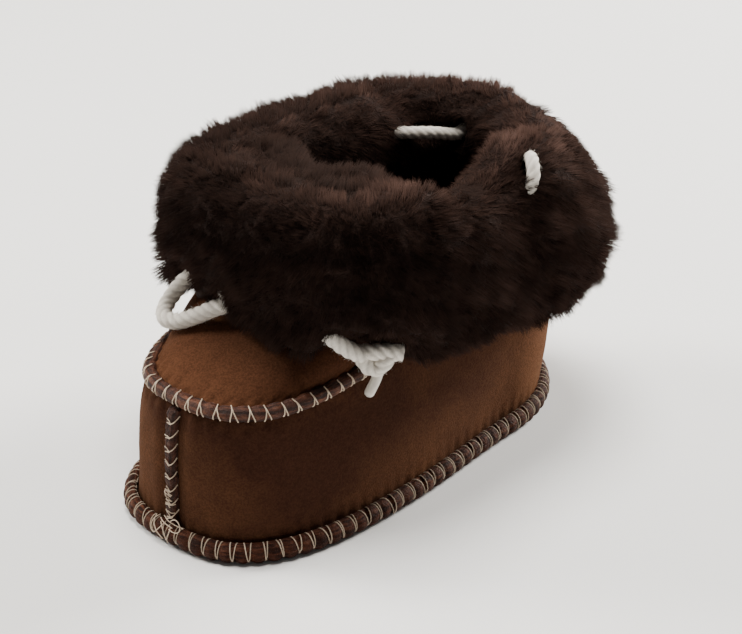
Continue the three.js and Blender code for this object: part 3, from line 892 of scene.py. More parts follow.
def finish_named(name):
    """The finish of that name, made at its first use."""
    given = colours()
    make, *values = {
        "suede wall": (suede_finish, given.suede_light, given.suede_dark),
        "suede apron": (suede_finish, given.apron_light, given.apron_dark, 30.0),
        "suede sole": (suede_finish, given.suede_dark, given.suede_dark, 60.0),
        "apron seam leather": (seam_finish, 1.0, 16.0, 11.0, 0.24),
        "toe seam leather": (seam_finish, 0.85, 5.0, 10.0, 0.2),
        "welt leather": (seam_finish, 0.9, 50.0, 14.0, 0.1),
        "thread": (cotton_finish, given.thread, given.thread_soil, 1800.0, 0.7, 0.2),
        # A darker copy of the thread, for the welt
        "worn thread": (cotton_finish, tint(given.thread, 0.72), given.thread_soil, 1800.0, 0.7, 0.2),
        "cord": (cotton_finish, given.cord, given.cord_soil_and_groove_shade, 90.0, 0.9, 0.5, True),
        "sealed end": (cotton_finish, given.cord, given.cord_soil_and_groove_shade, 500.0, 0.55, 0.1),
        "wool strands": (strand_finish,),
        "pelt": (pelt_finish, given.wool_tip),
        # The lining takes the faded wool colour, pale as painted light inside the unlit boot
        "lining": (pelt_finish, given.wool_faded_and_painted_light),
        "pale floor": (floor_finish,),
    }[name]
    if name not in bpy.data.materials:
        make(name, *values)
    return bpy.data.materials[name]


def set_number(mesh, name, values):
    """Store one number for each vertex."""
    mesh.attributes.new(name, "FLOAT", "POINT").data.foreach_set("value", np.asarray(values, np.float32))


def mesh_points(mesh):
    flat = np.empty(len(mesh.vertices) * 3)
    mesh.vertices.foreach_get("co", flat)
    return flat.reshape(-1, 3) / MM


# Pieces

def flat_panel(u, v, inset, height):
    """Points of a level panel inside the sole's edge, from its middle at v = 0 to its rim."""
    edge = sole_edge(station_round(u), inset)
    return np.column_stack([edge * v[:, None], np.full(len(u), height)])


def make_sole():
    def place(u, v):
        points = flat_panel(u, v, inset=3.9, height=0.0)
        points[:, 2] = 0.25 * smooth(np.maximum(swell(points, 30.0, 31), 0)) * smooth((1 - v) / 0.2)
        return points
    mesh = sheet_mesh("sole_panel", 168, 24, place)
    thicken(keep_piece(mesh, "suede sole", "suede", "sole"), SOLE_THICKNESS)


def make_welt():
    rows = len(WELT_SECTION)
    mesh = sheet_mesh("welt_roll", welt_stitches() * 7, 18, lambda u, v: welt_face(u, v * rows), closed=True)
    points = mesh_points(mesh)
    # Mask for the paler colour on the welt's fold ridges, partly wear and partly painted highlight: none at
    # its foot, more towards its top, in broken patches
    set_number(mesh, "rub", smooth((points[:, 2] - 1.5) / 2.5) * (0.4 + 0.6 * swell(points, 25.0, 41) ** 2))
    keep_piece(mesh, "welt leather", "seam_leather", "sole_welt")


def make_upper():
    def wall(u, v):
        station, row = station_round(u), v * COLLAR_ROW
        points = last(station, row)
        return points + last_normal(station, row) * suede_relief(points, station, row)[:, None]

    def outside_apron(u, v):
        row = v * COLLAR_ROW
        return not (SEAM_ROW < row < THROAT_ROW and abs(station_round(np.array(u))) < APRON_STATION)

    def apron(u, v):
        under_seam, gathered, tucked, gather_reach, puffed, puff_end = 0.5, 0.4, 0.3, 8.0, 0.9, 34
        arc = (2 * u - 1) * seam_arc(APRON_STATION + under_seam)
        station, row = seam_station(arc), SEAM_ROW + v * (THROAT_ROW - SEAM_ROW)
        points = last(station, row)
        edge = np.linalg.norm(points - last(station, SEAM_ROW), axis=1)
        gather = 1 - 2 * pinch(arc, millimetres("seam_pitch"))
        relief = 0.3 * swell(points, 24.0, 51) + 0.07 * swell(points, 7.0, 52)
        relief += smooth(1 - edge / gather_reach) * (gathered * gather - tucked)
        relief += puffed * smooth(edge / 14.0) * smooth((puff_end - edge) / 12)
        return points + last_normal(station, row) * relief[:, None]

    mesh = sheet_mesh("upper_suede", 336, COLLAR_ROW * 6, wall, keep=outside_apron)
    points = mesh_points(mesh)
    front, height = smooth((-10 - points[:, 1]) / 20), points[:, 2]
    welt_edge, bead_shadow_height, seam_edge, spread_mm = 9, 40, 41, 4.0
    rub = 0.3 * near(height - seam_edge, spread_mm) * front + 0.2 * near(height - welt_edge, spread_mm)
    set_number(mesh, "rub", rub)
    # Painted light and shade from the patches, less a painted shadow band under the apron seam at the front
    set_number(mesh, "nap_and_painted_light", spots(points, PAINTED_LIGHT_PATCHES) - 0.45 * near(height - bead_shadow_height, spread_mm) * front)
    thicken(keep_piece(mesh, "suede wall", "suede", "upper"), WALL)
    mesh = sheet_mesh("apron_suede", 168, 40, apron)
    points = mesh_points(mesh)
    set_number(mesh, "rub", 0.6 * near(points[:, 2] - 46, 3.0))
    # Painted light and shade on the apron, from the same patches
    set_number(mesh, "nap_and_painted_light", spots(points, PAINTED_LIGHT_PATCHES))
    thicken(keep_piece(mesh, "suede apron", "suede", "apron"), WALL)


def make_seams():
    reach = seam_arc(BEAD_STATION)

    def apron(u, v):
        return apron_bead((2 * u - 1) * reach, v * 2 * math.pi)

    def toe(u, v):
        return toe_bead(TOE_FOOT + (TOE_TOP - TOE_FOOT) * u, v * 2 * math.pi)

    mesh = sheet_mesh("apron_seam_roll", round(2 * reach / 0.8), 16, apron, caps=True)
    # Mask for the paler colour on the seam's fold ridges, partly wear and partly painted highlight, varying
    # softly along it
    set_number(mesh, "rub", 0.6 + 0.4 * swell(mesh_points(mesh), 15.0, 61))
    keep_piece(mesh, "apron seam leather", "seam_leather", "apron_seam")
    mesh = sheet_mesh("toe_seam_roll", 60, 18, toe, caps=True)
    set_number(mesh, "rub", np.full(len(mesh.vertices), 0.35))
    keep_piece(mesh, "toe seam leather", "seam_leather", "toe_seam")


# Loose turns of thread where the toe seam meets the welt
TANGLE_ROUTES = (
    ((-5.6, -77.2, 6.2), (-4.4, -79.4, 5.2), (-2.2, -80.5, 3.4), (0.4, -80.6, 2.0)),
    ((-4.6, -76.6, 6.3), (-5.2, -78.9, 5.6), (-4.9, -80.2, 3.6), (-3.6, -80.6, 2.6), (-1.6, -80.3, 4.6),
     (-0.4, -79.0, 6.4)),
    ((-1.8, -77.6, 7.6), (0.6, -78.4, 7.2), (3.2, -78.2, 6.7), (6.0, -77.6, 6.4)),
    ((1.2, -78.2, 7.0), (3.0, -78.6, 8.6), (4.8, -78.9, 9.2), (6.2, -79.1, 8.2), (6.3, -79.6, 6.4),
     (4.6, -80.0, 5.6), (2.4, -79.9, 5.8)),
    ((-1.4, -79.4, 6.6), (0.4, -80.4, 5.0), (1.6, -80.6, 2.6), (1.9, -80.0, 1.0)),
    ((2.8, -79.6, 6.2), (2.6, -80.5, 4.2), (1.9, -80.6, 2.2)),
    ((-2.6, -78.3, 6.9), (-0.8, -79.3, 7.0), (1.4, -79.5, 6.6), (3.4, -79.4, 6.3)),
)


def lifted_run(place, u, v, height, step_u=0.05, step_v=0.05):
    """A run of thread lying on a face."""
    return place(u, v) + normals(place, u, v, step_u, step_v) * height


def sew_welt(rng, radius, steps):
    """Forked stitches from over the welt to its foot, and the thread that runs between them on top."""
    count = welt_stitches()
    top_row, foot_row, bridge_row = 6.9, 1.4, 7.1

    def on_welt(stitch, row, height):
        return lifted_run(welt_face, stitch / count, row, height, step_u=1e-4)

    runs, ends = [], []
    for k in range(count):
        half = rng.uniform(0.12, 0.32)
        apex = k + rng.normal(0.02, 0.11)
        slant = rng.normal(-0.03, 0.07)
        ends.append((k + slant - half * 1.15, k + slant + half))
        for end in ends[-1]:
            stitch = end + (apex - end) * steps ** 1.15
            runs.append(on_welt(stitch, top_row + (foot_row - top_row) * steps, 0.75 * radius))
    for k in range(count):
        start, stop = ends[k][1], ends[(k + 1) % count][0] + (count if k + 1 == count else 0)
        stitch = start + (stop - start) * steps[::2]
        runs.append(on_welt(stitch, np.full(len(stitch), bridge_row), 0.5 * radius))
    sew("welt_thread", runs, radius, "worn thread")


def sew_apron(rng, radius, steps):
    """Forked stitches over the apron seam, from the apron's side to the wall's."""
    pitch = millimetres("seam_pitch")
    most = int(seam_arc(STITCH_STATION) / pitch)
    first_turn, turned = 2.75, 2.85
    runs = []
    for k in range(-most, most + 1):
        arc = k * pitch + rng.normal(0, 0.15)
        lean = rng.normal(0.5, 0.25)
        fork = rng.uniform(0.65, 1.1)
        for end in (-fork, fork):
            along = arc - lean * (1 - steps) ** 2 * 1.6 + end * smooth((steps - 0.22) / 0.78)
            runs.append(lifted_run(apron_bead, along, first_turn - turned * steps, 0.75 * radius))
    sew("apron_thread", runs, 1.12 * radius)


def sew_toe(rng, radius, steps):
    """Short slanting stitches up the toe seam, and a muddle of them at its foot."""
    middle, muddle = math.pi / 2 - 0.55, 9
    runs = []

    def stitch(level, rise, turn, turned):
        runs.append(lifted_run(toe_bead, level + rise, turn + turned * steps, 0.7 * radius))

    for level in np.arange(TOE_FOOT + 3, TOE_TOP - 1.5, millimetres("toe_pitch")):
        stitch(level, rng.normal(1.7, 0.3) * steps ** 1.3, middle, -1.2)
        stitch(level, rng.normal(0.9, 0.3) * steps, middle, 1.1)
        stitch(level - 0.2, rng.normal(0.2, 0.3) * steps, middle, 0.9)
    for _ in range(muddle):
        level = rng.uniform(TOE_FOOT + 1.5, TOE_FOOT + 11)
        start, stop = rng.uniform(0.3, 1.2), rng.uniform(1.9, 2.8)
        stitch(level, rng.normal(0.5, 0.9) * steps, start, stop - start)
    sew("toe_thread", runs, 0.95 * radius)


def make_stitches():
    rng = np.random.default_rng(7)
    radius = millimetres("thread_width") / 2
    steps = np.linspace(0, 1, 8)
    for make in (sew_welt, sew_apron, sew_toe):
        make(rng, radius, steps)
    sew("tangle_thread", [route_line(route, 0.9) for route in TANGLE_ROUTES], 0.9 * radius)


def cord_partings():
    """Runs of cord that lie on the wool, as points a millimetre apart, each with the width of its parting."""
    knot = knot_line(TAIL_KNOT_CENTRE, [(-5, 2, 0), (0, 0, 0), (6, 1, 0)])
    loop, tail, knot, tip, first_bar, second_bar = (route_line(route, 1.0) for route in (
        LOOP_ROUTE[:9], TAIL_ROUTE[3:], knot, TIP_ROUTE, DRAWCORD_ROUTE[7:10], DRAWCORD_ROUTE[18:21],
    ))
    return [
        (loop[3:-4], 7.0), (tail[6:], 9.0), (knot, 9.0), (tip, 9.0),
        (first_bar[7:], 5.0), (second_bar[:-11], 3.4),
    ]


def gap_to(points, line):
    """Distance from each point to the nearest point of a line."""
    squares = (points ** 2).sum(1)[:, None] + (line ** 2).sum(1)[None] - 2 * points @ line.T
    return np.sqrt(np.maximum(squares.min(1), 0))


def beside(points, line, margin):
    """Which points lie within a margin of a line's box."""
    return np.flatnonzero(((points > line.min(0) - margin) & (points < line.max(0) + margin)).all(1))


def wool_limit(core, tips):
    """Share of the wool's depth that is left where cord lies on it."""
    least, cord_room, wool_depth = 0.2, 3.2, 25
    limit = np.ones(len(core))
    for line, width in cord_partings():
        inside = beside(core, line, width + wool_depth)
        for share in np.linspace(least, 1.0, 9):
            points = core[inside] + (tips[inside] - core[inside]) * share
            limit[inside] = np.minimum(limit[inside], share + (gap_to(points, line) - cord_room) / width)
    return np.clip(limit, least, 1.0)


def cut_at_cords(root, tip, clearance):
    """Share of each strand that stays clear of the cord lying on the wool."""
    share = np.ones(len(root))
    for line, _ in cord_partings():
        inside = beside(tip, line, margin=12)
        for tried, left in ((1.0, 0.8), (0.8, 0.6), (0.6, 0.4), (0.4, 0.2), (0.2, 0.0), (0.0, 0.0)):
            blocked = gap_to(root[inside] + (tip[inside] - root[inside]) * tried, line) < clearance
            share[inside] = np.where(blocked, np.minimum(share[inside], left), share[inside])
    return share


def tree_of(points):
    found = KDTree(len(points))
    for i, point in enumerate(points):
        found.insert(point, i)
    found.balance()
    return found


def strand_mesh(name, root, tip, width, tone_and_painted_light):
    """Straight tapered strands of three sides, joined in one mesh."""
    count = len(root)
    rng = np.random.default_rng(count)
    way = unit(tip - root)
    side = unit(np.cross(way, rng.normal(size=(count, 3))))
    up = np.cross(way, side)
    ring = [
        root + (side * math.cos(angle) + up * math.sin(angle)) * width[:, None]
        for angle in (0.0, 2 * math.pi / 3, 4 * math.pi / 3)
    ]
    verts = np.stack([*ring, tip], 1).reshape(-1, 3) * MM
    spike = np.array([[0, 1, 3], [1, 2, 3], [2, 0, 3], [2, 1, 0]])
    faces = (spike[None] + 4 * np.arange(count)[:, None, None]).reshape(-1, 3)
    mesh = bpy.data.meshes.new(name)
    mesh.vertices.add(len(verts))
    mesh.vertices.foreach_set("co", verts.ravel())
    mesh.loops.add(faces.size)
    mesh.loops.foreach_set("vertex_index", faces.ravel())
    mesh.polygons.add(len(faces))
    mesh.polygons.foreach_set("loop_start", np.arange(0, faces.size, 3))
    mesh.update(calc_edges=True)
    set_number(mesh, "along", np.tile([0, 0, 0, 1.0], count))
    set_number(mesh, "tone_and_painted_light", np.repeat(tone_and_painted_light, 4))
    return mesh


def scatter_wool(count, face, section_span, rng):
    """Places spread evenly over a face of wool: shares round it, rows of its section, and a row's length."""
    around, rows = 160, 60
    near_share, near_row = 0.002, 0.1
    step = (section_span[1] - section_span[0]) / rows
    share, section = np.meshgrid(
        (np.arange(around) + 0.5) / around, section_span[0] + (np.arange(rows) + 0.5) * step
    )
    share, section = share.ravel(), section.ravel()
    ahead = (face(share + near_share, section)[0] - face(share - near_share, section)[0]) / (2 * near_share)
    above = (face(share, section + near_row)[0] - face(share, section - near_row)[0]) / (2 * near_row)
    area = np.linalg.norm(np.cross(ahead, above), axis=1)
    cell = rng.choice(len(area), count, p=area / area.sum())
    share = share[cell] + rng.uniform(-0.5, 0.5, count) / around
    section = section[cell] + rng.uniform(-0.5, 0.5, count) * step
    return share, section, np.linalg.norm(above, axis=1)[cell]


# Tufts that strands gather in, large and small: strands in one, pull to its centre at most, stray of its tip
# and change of its tone
WOOL_TUFTS = ((90, 0.25, 0.6, 0.09), (14, 0.35, 0.2, 0.06))
# Strands: lean from the crest in millimetres, root as a share of the wool's depth, width as a share of the
# panel's, clearance from the cord and the shortest share of a strand that stays
STRAND_LEAN = (0.8, 4.2)
STRAND_ROOT = (0.6, 0.74)
STRAND_WIDTH = (0.55, 1.3)
CORD_CLEARANCE = 2.4
SHORTEST_STRAND = 0.15


def grow_wool(count, face, section_span, crest, shade, crest_painted_light, rng):
    """Short strands of one shade that lean away from the crest, made paler near it by painted light.

    Gives their roots, tips, widths, tones and shares round the face.
    """
    share, section, row_length = scatter_wool(count, face, section_span, rng)
    reach, core = face(share, section)
    lean = np.tanh(section - crest) * rng.uniform(*STRAND_LEAN, count) + 1.8 * swell(reach, 14.0, 25)
    lean /= np.maximum(row_length, 3.0)
    sway = (2.4 * swell(reach, 16.0, 24) + rng.normal(0, 0.9, count)) / SOLE_ROUND
    past_span = 0.6
    leant = np.clip(section + lean, section_span[0] - past_span, section_span[1] + past_span)
    far, far_core = face(share + sway, leant)
    uneven, odd_longer, odd_ones = 0.022, 0.05, 0.04
    length = 1.0 + wool_lumps(far) + rng.normal(0, uneven, count)
    length += odd_longer * (rng.random(count) < odd_ones)
    tip = far_core + (far - far_core) * (length * wool_limit(far_core, far))[:, None]
    depth = rng.uniform(*STRAND_ROOT, count) + wool_lumps(reach)
    root = core + (reach - core) * (depth * wool_limit(core, reach))[:, None]
    tone_and_painted_light = shade + 0.13 * swell(reach, 24.0, 71) + 0.09 * swell(reach, 8.0, 72) + rng.normal(0, 0.1, count)
    # Painted light and shade in the tone: paler near the crest, more so towards +X; paler on the heel side;
    # darker on the crest towards the toe and the -X front
    tone_and_painted_light += crest_painted_light * near(section - crest, 1.5) * smooth((reach[:, 0] + 50) / 60)
    heelward = 0.6 * reach[:, 0] + 0.75 * reach[:, 1]
    heel_painted_light, toe_painted_shade = 0.12, 0.34
    tone_and_painted_light += heel_painted_light * smooth((heelward - 20) / 30)
    tone_and_painted_light -= toe_painted_shade * smooth((15 - heelward) / 40) * near(section - crest, 2.5)
    for size, most, stray, tinge in WOOL_TUFTS:
        centres = tip[rng.choice(count, count // size, replace=False)]
        tufts = tree_of(centres)
        nearest = np.array([tufts.find(point)[1] for point in tip])
        push = rng.normal(0, stray, (len(centres), 3))[nearest]
        tip = tip + (centres[nearest] - tip) * rng.uniform(0.05, most, count)[:, None] + push
        tone_and_painted_light += rng.normal(0, tinge, len(centres))[nearest]
    tip = tip + rng.normal(0, 0.3, (count, 3))
    clear = cut_at_cords(root, tip, CORD_CLEARANCE)
    width = rng.uniform(*STRAND_WIDTH, count) * settings().strand_width * 1000 / 2
    stays = clear > SHORTEST_STRAND
    tip = root + (tip - root) * clear[:, None]
    return [each[stays] for each in (root, tip, width, np.clip(tone_and_painted_light, 0, 1), share)]


# The pelt's share of the wool's depth, and the lobe's skin in millimetres
PELT_DEPTH = 0.84
LOBE_SKIN = 1.5


def make_cuff():
    given = settings()
    rng = np.random.default_rng(3)
    thin = 1.0

    def pelt_of(face, rows):
        def pelt(u, v):
            tips, core = face(u, v * rows)
            depth = (PELT_DEPTH + wool_lumps(tips)) * wool_limit(core, tips)
            return core + (tips - core) * depth[:, None]
        return pelt

    def grow(strands, face, span, crest, shade, crest_painted_light):
        *strands, share = grow_wool(round(strands * thin), face, span, crest, shade, crest_painted_light, rng)
        return strands, share

    def keep_wool(name, strands):
        keep_piece(strand_mesh(name, *strands), "wool strands", "wool")

    mesh = sheet_mesh("cuff_pelt", 200, 60, pelt_of(cuff_wool, len(CUFF_SECTION)), closed=True)
    keep_piece(mesh, "pelt", "wool", "cuff", "collar_wool")
    mesh = sheet_mesh("lobe_pelt", 48, 36, pelt_of(lobe_wool, len(LOBE_SECTION) - 1))
    thicken(keep_piece(mesh, "pelt", "wool"), LOBE_SKIN)

    # Outer wool of a middle tone, with painted light at its crest
    strands, share = grow(given.outer_strands, cuff_wool, OUTER_SECTION, CREST_SECTION, shade=0.36, crest_painted_light=0.28)
    quarter = np.floor(np.mod(share + 0.125, 1.0) * 4).astype(int)
    for k, name in enumerate(("cuff_wool_toe", "cuff_wool_near", "cuff_wool_heel", "cuff_wool_far")):
        keep_wool(name, [each[quarter == k] for each in strands])
    # Mouth wool of a pale tone as painted light in the unlit mouth, less pale towards its crest
    strands, _ = grow(given.mouth_strands, cuff_wool, MOUTH_SECTION, CREST_SECTION, shade=0.85, crest_painted_light=-0.35)
    keep_wool("mouth_wool", strands)
    span = (0.6, len(LOBE_SECTION) - 2.0)
    # Lobe wool of a dark tone as painted shade on its lit top
    strands, _ = grow(given.lobe_strands, lobe_wool, span, LOBE_CREST, shade=0.2, crest_painted_light=-0.05)
    keep_wool("lobe_wool", strands)


# Lining in millimetres: mean distance from the wall, and thickness of lining and footbed
LINING_GAP = 2.2
LINING_THICKNESS = 1.2
BED_THICKNESS = 3.2


def make_lining():
    def wall(u, v):
        station, row = station_round(u), 0.9 + v * (COLLAR_ROW - 1.4)
        points = last(station, row)
        depth = WALL + LINING_GAP + 0.9 * swell(points, 9.0, 81) + 0.5 * swell(points, 4.0, 82)
        return points - last_normal(station, row) * depth[:, None]

    def bed(u, v):
        points = flat_panel(u, v, inset=7.6, height=INSOLE_TOP)
        points[:, 2] += 0.9 * swell(points, 10.0, 83) + 0.5 * swell(points, 4.0, 84) - 0.6
        return points

    thicken(keep_piece(sheet_mesh("lining_wool", 120, 40, wall), "lining", "wool"), LINING_THICKNESS)
    thicken(keep_piece(sheet_mesh("footbed_wool", 110, 20, bed), "lining", "wool", "insole"), BED_THICKNESS)


def knot_line(centre, local):
    """A knot's turns, given to the right, up and to the front of its centre, facing the toe's +X side."""
    turn = math.radians(KNOT_FACING)
    right = np.array([math.cos(turn), math.sin(turn), 0])
    front = np.array([math.sin(turn), -math.cos(turn), 0])
    up = np.array([0, 0, 1])
    return [np.asarray(centre, float) + right * r + up * u + front * f for r, u, f in local]


def overhand_turns(size, height, depth):
    """Turns of an overhand knot drawn tight: three lobes, one of them below."""
    t = np.linspace(0, 2 * math.pi, 37)
    across = size * (np.sin(t) + 2 * np.sin(2 * t))
    return np.column_stack([across, height * size * (np.cos(t) - 2 * np.cos(2 * t)), -depth * np.sin(3 * t)])


# Turns of the tail's knot and the cord's cut end beside it, to the right, up and to the front
TAIL_TURN = (
    (-6.2, 2.0, -1.0), (-5.6, -0.2, 1.2), (-4.2, -2.6, 1.8), (-2.2, -3.6, 1.4), (-0.2, -2.2, 1.8),
    (1.2, -0.2, 1.6), (2.2, 1.8, -0.6),
)
TAIL_STUB = ((-6.4, 0.9, 0.4), (-3.0, 1.5, 1.4), (0.6, 1.5, 1.3), (3.0, 1.0, 0.9), (5.2, 0.4, 0.4))


def make_fuzz(name, line, radius, per_mm, rng):
    """Loose fibres standing off a cord."""
    count = round(arc_lengths(line)[-1] * per_mm)
    sides, ups = line_frames(line)
    i, turn = rng.integers(0, len(line), count), rng.uniform(0, 2 * math.pi, count)
    way = sides[i] * np.cos(turn)[:, None] + ups[i] * np.sin(turn)[:, None]
    root = line[i] + way * (radius * rng.uniform(0.75, 0.9, count))[:, None] + rng.normal(0, 0.15, (count, 3))
    tip = root + way * rng.uniform(0.3, 0.75, count)[:, None] + rng.normal(0, 0.3, (count, 3))
    mesh = strand_mesh(name, root, tip, rng.uniform(0.03, 0.06, count), np.full(count, 0.5))
    return keep_piece(mesh, "sealed end", "cotton")


def make_cords():
    rng = np.random.default_rng(9)
    radius = millimetres("cord_width") / 2
    loose, sealed = 1.22 * radius, 0.72 * radius

    def run(name, line, thick, *nodes):
        return keep_piece(cord_mesh(name, line, thick), "cord", "cotton", *nodes)

    def fuzz(name, line, thick=loose, per_mm=40):
        return make_fuzz(name, line, thick, per_mm, rng)

    def declare(piece, line, thick, far_end, lay, with_pieces):
        arc_lengths(line)[-1] * MM

    line = route_line(DRAWCORD_ROUTE, 0.7)
    drawcord = run("drawcord_twist", line, radius, "drawcord")
    declare(drawcord, line, radius, "object", "taut", [fuzz("drawcord_fuzz", line, radius, per_mm=18)])

    line = route_line(knot_line(BOW_KNOT_CENTRE, overhand_turns(0.7, 0.8, 0.9)), 0.6)
    bow = run("bow_knot_cord", line, radius, "bow_knot")
    line = route_line(LOOP_ROUTE, 0.7)
    loop = run("bow_loop_twist", line, loose, "bow_loop")
    declare(loop, line, loose, "object", "loose", [bow, fuzz("bow_loop_fuzz", line)])

    line = route_line(knot_line(TAIL_KNOT_CENTRE, TAIL_TURN), 0.5)
    hung = [run("tail_knot_cord", line, loose, "tail_knot"), fuzz("tail_knot_fuzz", line)]
    line = route_line(knot_line(TAIL_KNOT_CENTRE, TAIL_STUB), 0.5)
    hung += [run("tail_stub_cord", line, loose), fuzz("tail_stub_fuzz", line)]
    line = route_line(TIP_ROUTE, 0.4)
    mesh = cord_mesh("tail_tip_cord", line, sealed, round_tip=True, twist=False)
    hung.append(keep_piece(mesh, "sealed end", "cotton", "tail_tip"))
    line = route_line(TAIL_ROUTE, 0.7)
    tail = run("bow_tail_twist", line, loose, "bow_tail")
    declare(tail, line, loose, "knot", "hanging", [*hung, fuzz("bow_tail_fuzz", line)])


# Lamps: name, place, aim, size in metres and power in watts
LIGHTS = (
    ("left softbox", (-1.15, -0.45, 0.8), (0, 0, 0.04), 0.55, 24.0),
    ("back softbox", (0.3, 1.2, 0.55), (0, 0, 0.04), 0.5, 38.0),
    ("overhead softbox", (-0.1, 0.1, 1.3), (0, 0, 0), 0.7, 26.0),
)
LAMP_COLOUR = (1.0, 0.965, 0.915)
ROOM_COLOUR = (1.0, 0.99, 0.97)
FLOOR_HALF = 8.0
FLOOR_DROP = 0.0002


def make_stage():
    bm = bmesh.new()
    bmesh.ops.create_grid(bm, x_segments=2, y_segments=2, size=FLOOR_HALF)
    bmesh.ops.translate(bm, verts=bm.verts[:], vec=(0, 0, -FLOOR_DROP))
    floor = show("floor", mesh_of(bm, "floor"))
    floor.data.materials.append(finish_named("pale floor"))

    for name, place, aim, size, power in LIGHTS:
        lamp = bpy.data.lights.new(name, "AREA")
        lamp.shape = "DISK"
        lamp.size = size
        lamp.energy = power
        lamp.color = LAMP_COLOUR
        holder = show(name, lamp)
        holder.location = place
        holder.rotation_euler = (Vector(aim) - Vector(place)).to_track_quat("-Z", "Y").to_euler()

    world = bpy.data.worlds.new("soft room")
    bpy.context.scene.world = world
    world.use_nodes = True
    sky = world.node_tree.nodes["Background"]
    sky.inputs["Color"].default_value = tint(ROOM_COLOUR)
    sky.inputs["Strength"].default_value = settings().room_light

    turn, rise = math.radians(CAMERA_AZIMUTH), math.radians(CAMERA_ELEVATION)
    back = Vector((math.sin(turn) * math.cos(rise), -math.cos(turn) * math.cos(rise), math.sin(rise)))
    lens = bpy.data.cameras.new("camera")
    lens.sensor_width = SENSOR
    lens.lens = FOCAL_PIXELS / IMAGE_WIDTH * SENSOR
    lens.clip_start, lens.clip_end = 0.01, 20.0
    camera = show("camera", lens)
    camera.location = CAMERA_PLACE
    camera.rotation_euler = (-back).to_track_quat("-Z", "Y").to_euler()
    bpy.context.scene.camera = camera


# Properties, operators and panel

def length_property(label, about, value):
    return FloatProperty(name=label, description=about, default=value, min=0.0, unit="LENGTH", precision=5)


def count_property(label, about, value):
    return IntProperty(name=label, description=about, default=value, min=0)


def colour_property(label, about, value):
    return FloatVectorProperty(
        name=label, description=about, default=value, subtype="COLOR", min=0.0, max=1.0
    )


class BootieSizes(bpy.types.PropertyGroup):
    """Sizes of the sewn and soft pieces."""
    welt_pitch: length_property("Welt pitch", "Distance between the stitches round the sole", 0.0048)
    seam_pitch: length_property("Apron pitch", "Distance between the stitches of the apron seam", 0.0045)
    toe_pitch: length_property("Toe pitch", "Distance between the stitches of the toe seam", 0.0042)
    thread_width: length_property("Thread", "Thickness of the sewing thread", 0.00034)
    cord_width: length_property("Cord", "Thickness of the cotton cord", 0.0041)
    cord_lay: length_property("Cord lay", "Length of one full twist of the cord", 0.011)
    strand_width: length_property("Strand", "Thickness of a strand of wool at its root", 0.00036)
    outer_strands: count_property("Outer strands", "Strands on the cuff's outside", 132000)
    mouth_strands: count_property("Mouth strands", "Strands inside the cuff", 24000)
    lobe_strands: count_property("Lobe strands", "Strands on the mouth's front lobe", 11000)
    room_light: FloatProperty(
        name="Room light", description="Strength of the light all round", default=0.12, min=0.0
    )


class BootieColours(bpy.types.PropertyGroup):
    """Colours of the finishes."""
    suede_light: colour_property("Suede light", "Suede with the nap brushed up", (0.082, 0.0345, 0.0158))
    suede_dark: colour_property("Suede dark", "Suede with the nap laid flat", (0.031, 0.0118, 0.0067))
    apron_light: colour_property("Apron light", "Apron with the nap brushed up", (0.081, 0.0332, 0.0158))
    apron_dark: colour_property("Apron dark", "Apron with the nap laid flat", (0.046, 0.0172, 0.0083))
    # Seam dark also serves as painted shade in the creases, and seam rubbed as painted highlight on the
    # ridges as well as wear
    seam_light: colour_property("Seam light", "Rolled leather on its folds", (0.058, 0.0155, 0.0062))
    seam_dark_and_crease_shade: colour_property("Seam dark", "Rolled leather in its creases", (0.015, 0.0042, 0.002))
    seam_rubbed_and_highlight: colour_property("Seam rubbed", "Rolled leather where it is worn", (0.16, 0.06, 0.03))
    thread: colour_property("Thread", "Sewing thread", (0.62, 0.5, 0.375))
    thread_soil: colour_property("Thread soil", "Sewing thread where it is soiled", (0.34, 0.25, 0.17))
    cord: colour_property("Cord", "Cotton cord", (0.84, 0.79, 0.71))
    # The cord's soil colour also paints shade in its grooves
    cord_soil_and_groove_shade: colour_property("Cord soil", "Cotton cord between its strands", (0.52, 0.47, 0.4))
    # The faded wool colour also serves as painted light, and the root colour as painted shade
    wool_root_and_painted_shade: colour_property("Wool root", "Wool near the skin", (0.0075, 0.0041, 0.003))
    wool_tip: colour_property("Wool tip", "Wool at its tips", (0.032, 0.0168, 0.0125))
    wool_faded_and_painted_light: colour_property("Wool faded", "Wool bleached by light", (0.068, 0.0378, 0.0292))
    floor: colour_property("Floor", "Pale floor", (0.9, 0.9, 0.89))


class BootieOperator:
    """What the operators share: each calls its makers in order."""
    bl_options = {"REGISTER", "UNDO"}

    def execute(self, context):
        for make in self.makers:
            make()
        return {"FINISHED"}


class BOOTIE_OT_stage(BootieOperator, bpy.types.Operator):
    """Lay the floor and set the lamps and the camera"""
    bl_idname = "bootie.stage"
    bl_label = "Stage"
    makers = (make_stage,)


class BOOTIE_OT_cords(BootieOperator, bpy.types.Operator):
    """Lay the drawcord and tie the bow"""
    bl_idname = "bootie.cords"
    bl_label = "Cords"
    makers = (make_cords,)


class BOOTIE_OT_sole(BootieOperator, bpy.types.Operator):
    """Cut the sole panel and roll the welt"""
    bl_idname = "bootie.sole"
    bl_label = "Sole and welt"
    makers = (make_sole, make_welt)


class BOOTIE_OT_upper(BootieOperator, bpy.types.Operator):
    """Form the suede wall and the apron"""
    bl_idname = "bootie.upper"
    bl_label = "Upper and apron"
    makers = (make_upper,)


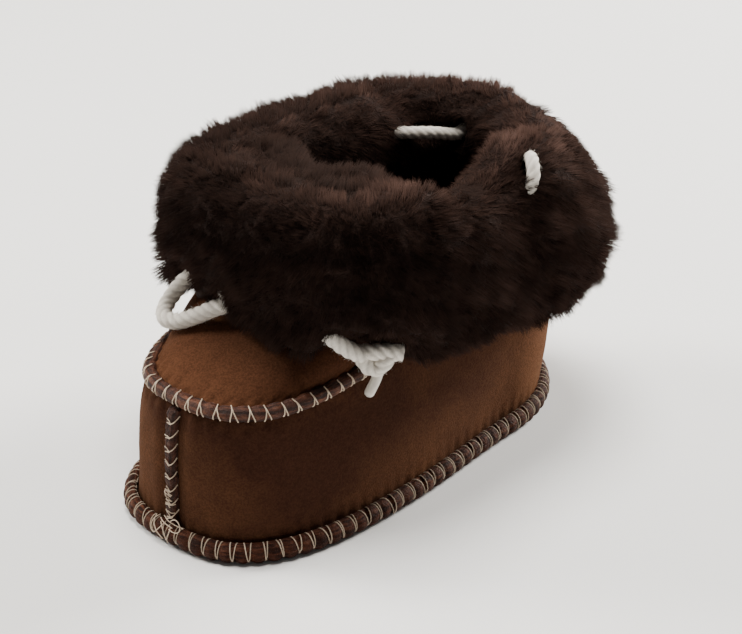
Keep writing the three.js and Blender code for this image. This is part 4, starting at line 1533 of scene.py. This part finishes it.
class BOOTIE_OT_seams(BootieOperator, bpy.types.Operator):
    """Roll the apron seam and the toe seam"""
    bl_idname = "bootie.seams"
    bl_label = "Seams"
    makers = (make_seams,)


class BOOTIE_OT_stitches(BootieOperator, bpy.types.Operator):
    """Sew the welt and the seams"""
    bl_idname = "bootie.stitches"
    bl_label = "Stitches"
    makers = (make_stitches,)


class BOOTIE_OT_lining(BootieOperator, bpy.types.Operator):
    """Line the inside with wool"""
    bl_idname = "bootie.lining"
    bl_label = "Lining"
    makers = (make_lining,)


class BOOTIE_OT_cuff(BootieOperator, bpy.types.Operator):
    """Turn the pelt down over the collar and grow its wool"""
    bl_idname = "bootie.cuff"
    bl_label = "Wool cuff"
    makers = (make_cuff,)


OPERATORS = (
    BOOTIE_OT_stage, BOOTIE_OT_cords, BOOTIE_OT_sole, BOOTIE_OT_upper, BOOTIE_OT_seams, BOOTIE_OT_stitches,
    BOOTIE_OT_lining, BOOTIE_OT_cuff,
)


class BOOTIE_PT_panel(bpy.types.Panel):
    """Sizes, colours and steps of the bootie"""
    bl_idname = "BOOTIE_PT_panel"
    bl_label = "Sheepskin bootie"
    bl_space_type = "VIEW_3D"
    bl_region_type = "UI"
    bl_category = "Bootie"

    def draw(self, context):
        for group in (context.scene.bootie_sizes, context.scene.bootie_colours):
            box = self.layout.box()
            for name in group.__annotations__:
                box.prop(group, name)
        for operator in OPERATORS:
            self.layout.operator(operator.bl_idname)


CLASSES = (BootieSizes, BootieColours, *OPERATORS, BOOTIE_PT_panel)


def register():
    for cls in CLASSES:
        bpy.utils.register_class(cls)
    bpy.types.Scene.bootie_sizes = PointerProperty(type=BootieSizes)
    bpy.types.Scene.bootie_colours = PointerProperty(type=BootieColours)


def unregister():
    del bpy.types.Scene.bootie_colours
    del bpy.types.Scene.bootie_sizes
    for cls in reversed(CLASSES):
        bpy.utils.unregister_class(cls)


def main():
    register()
    for operator in OPERATORS:
        group, name = operator.bl_idname.split(".")
        getattr(getattr(bpy.ops, group), name)()


if __name__ == "__main__":
    main()
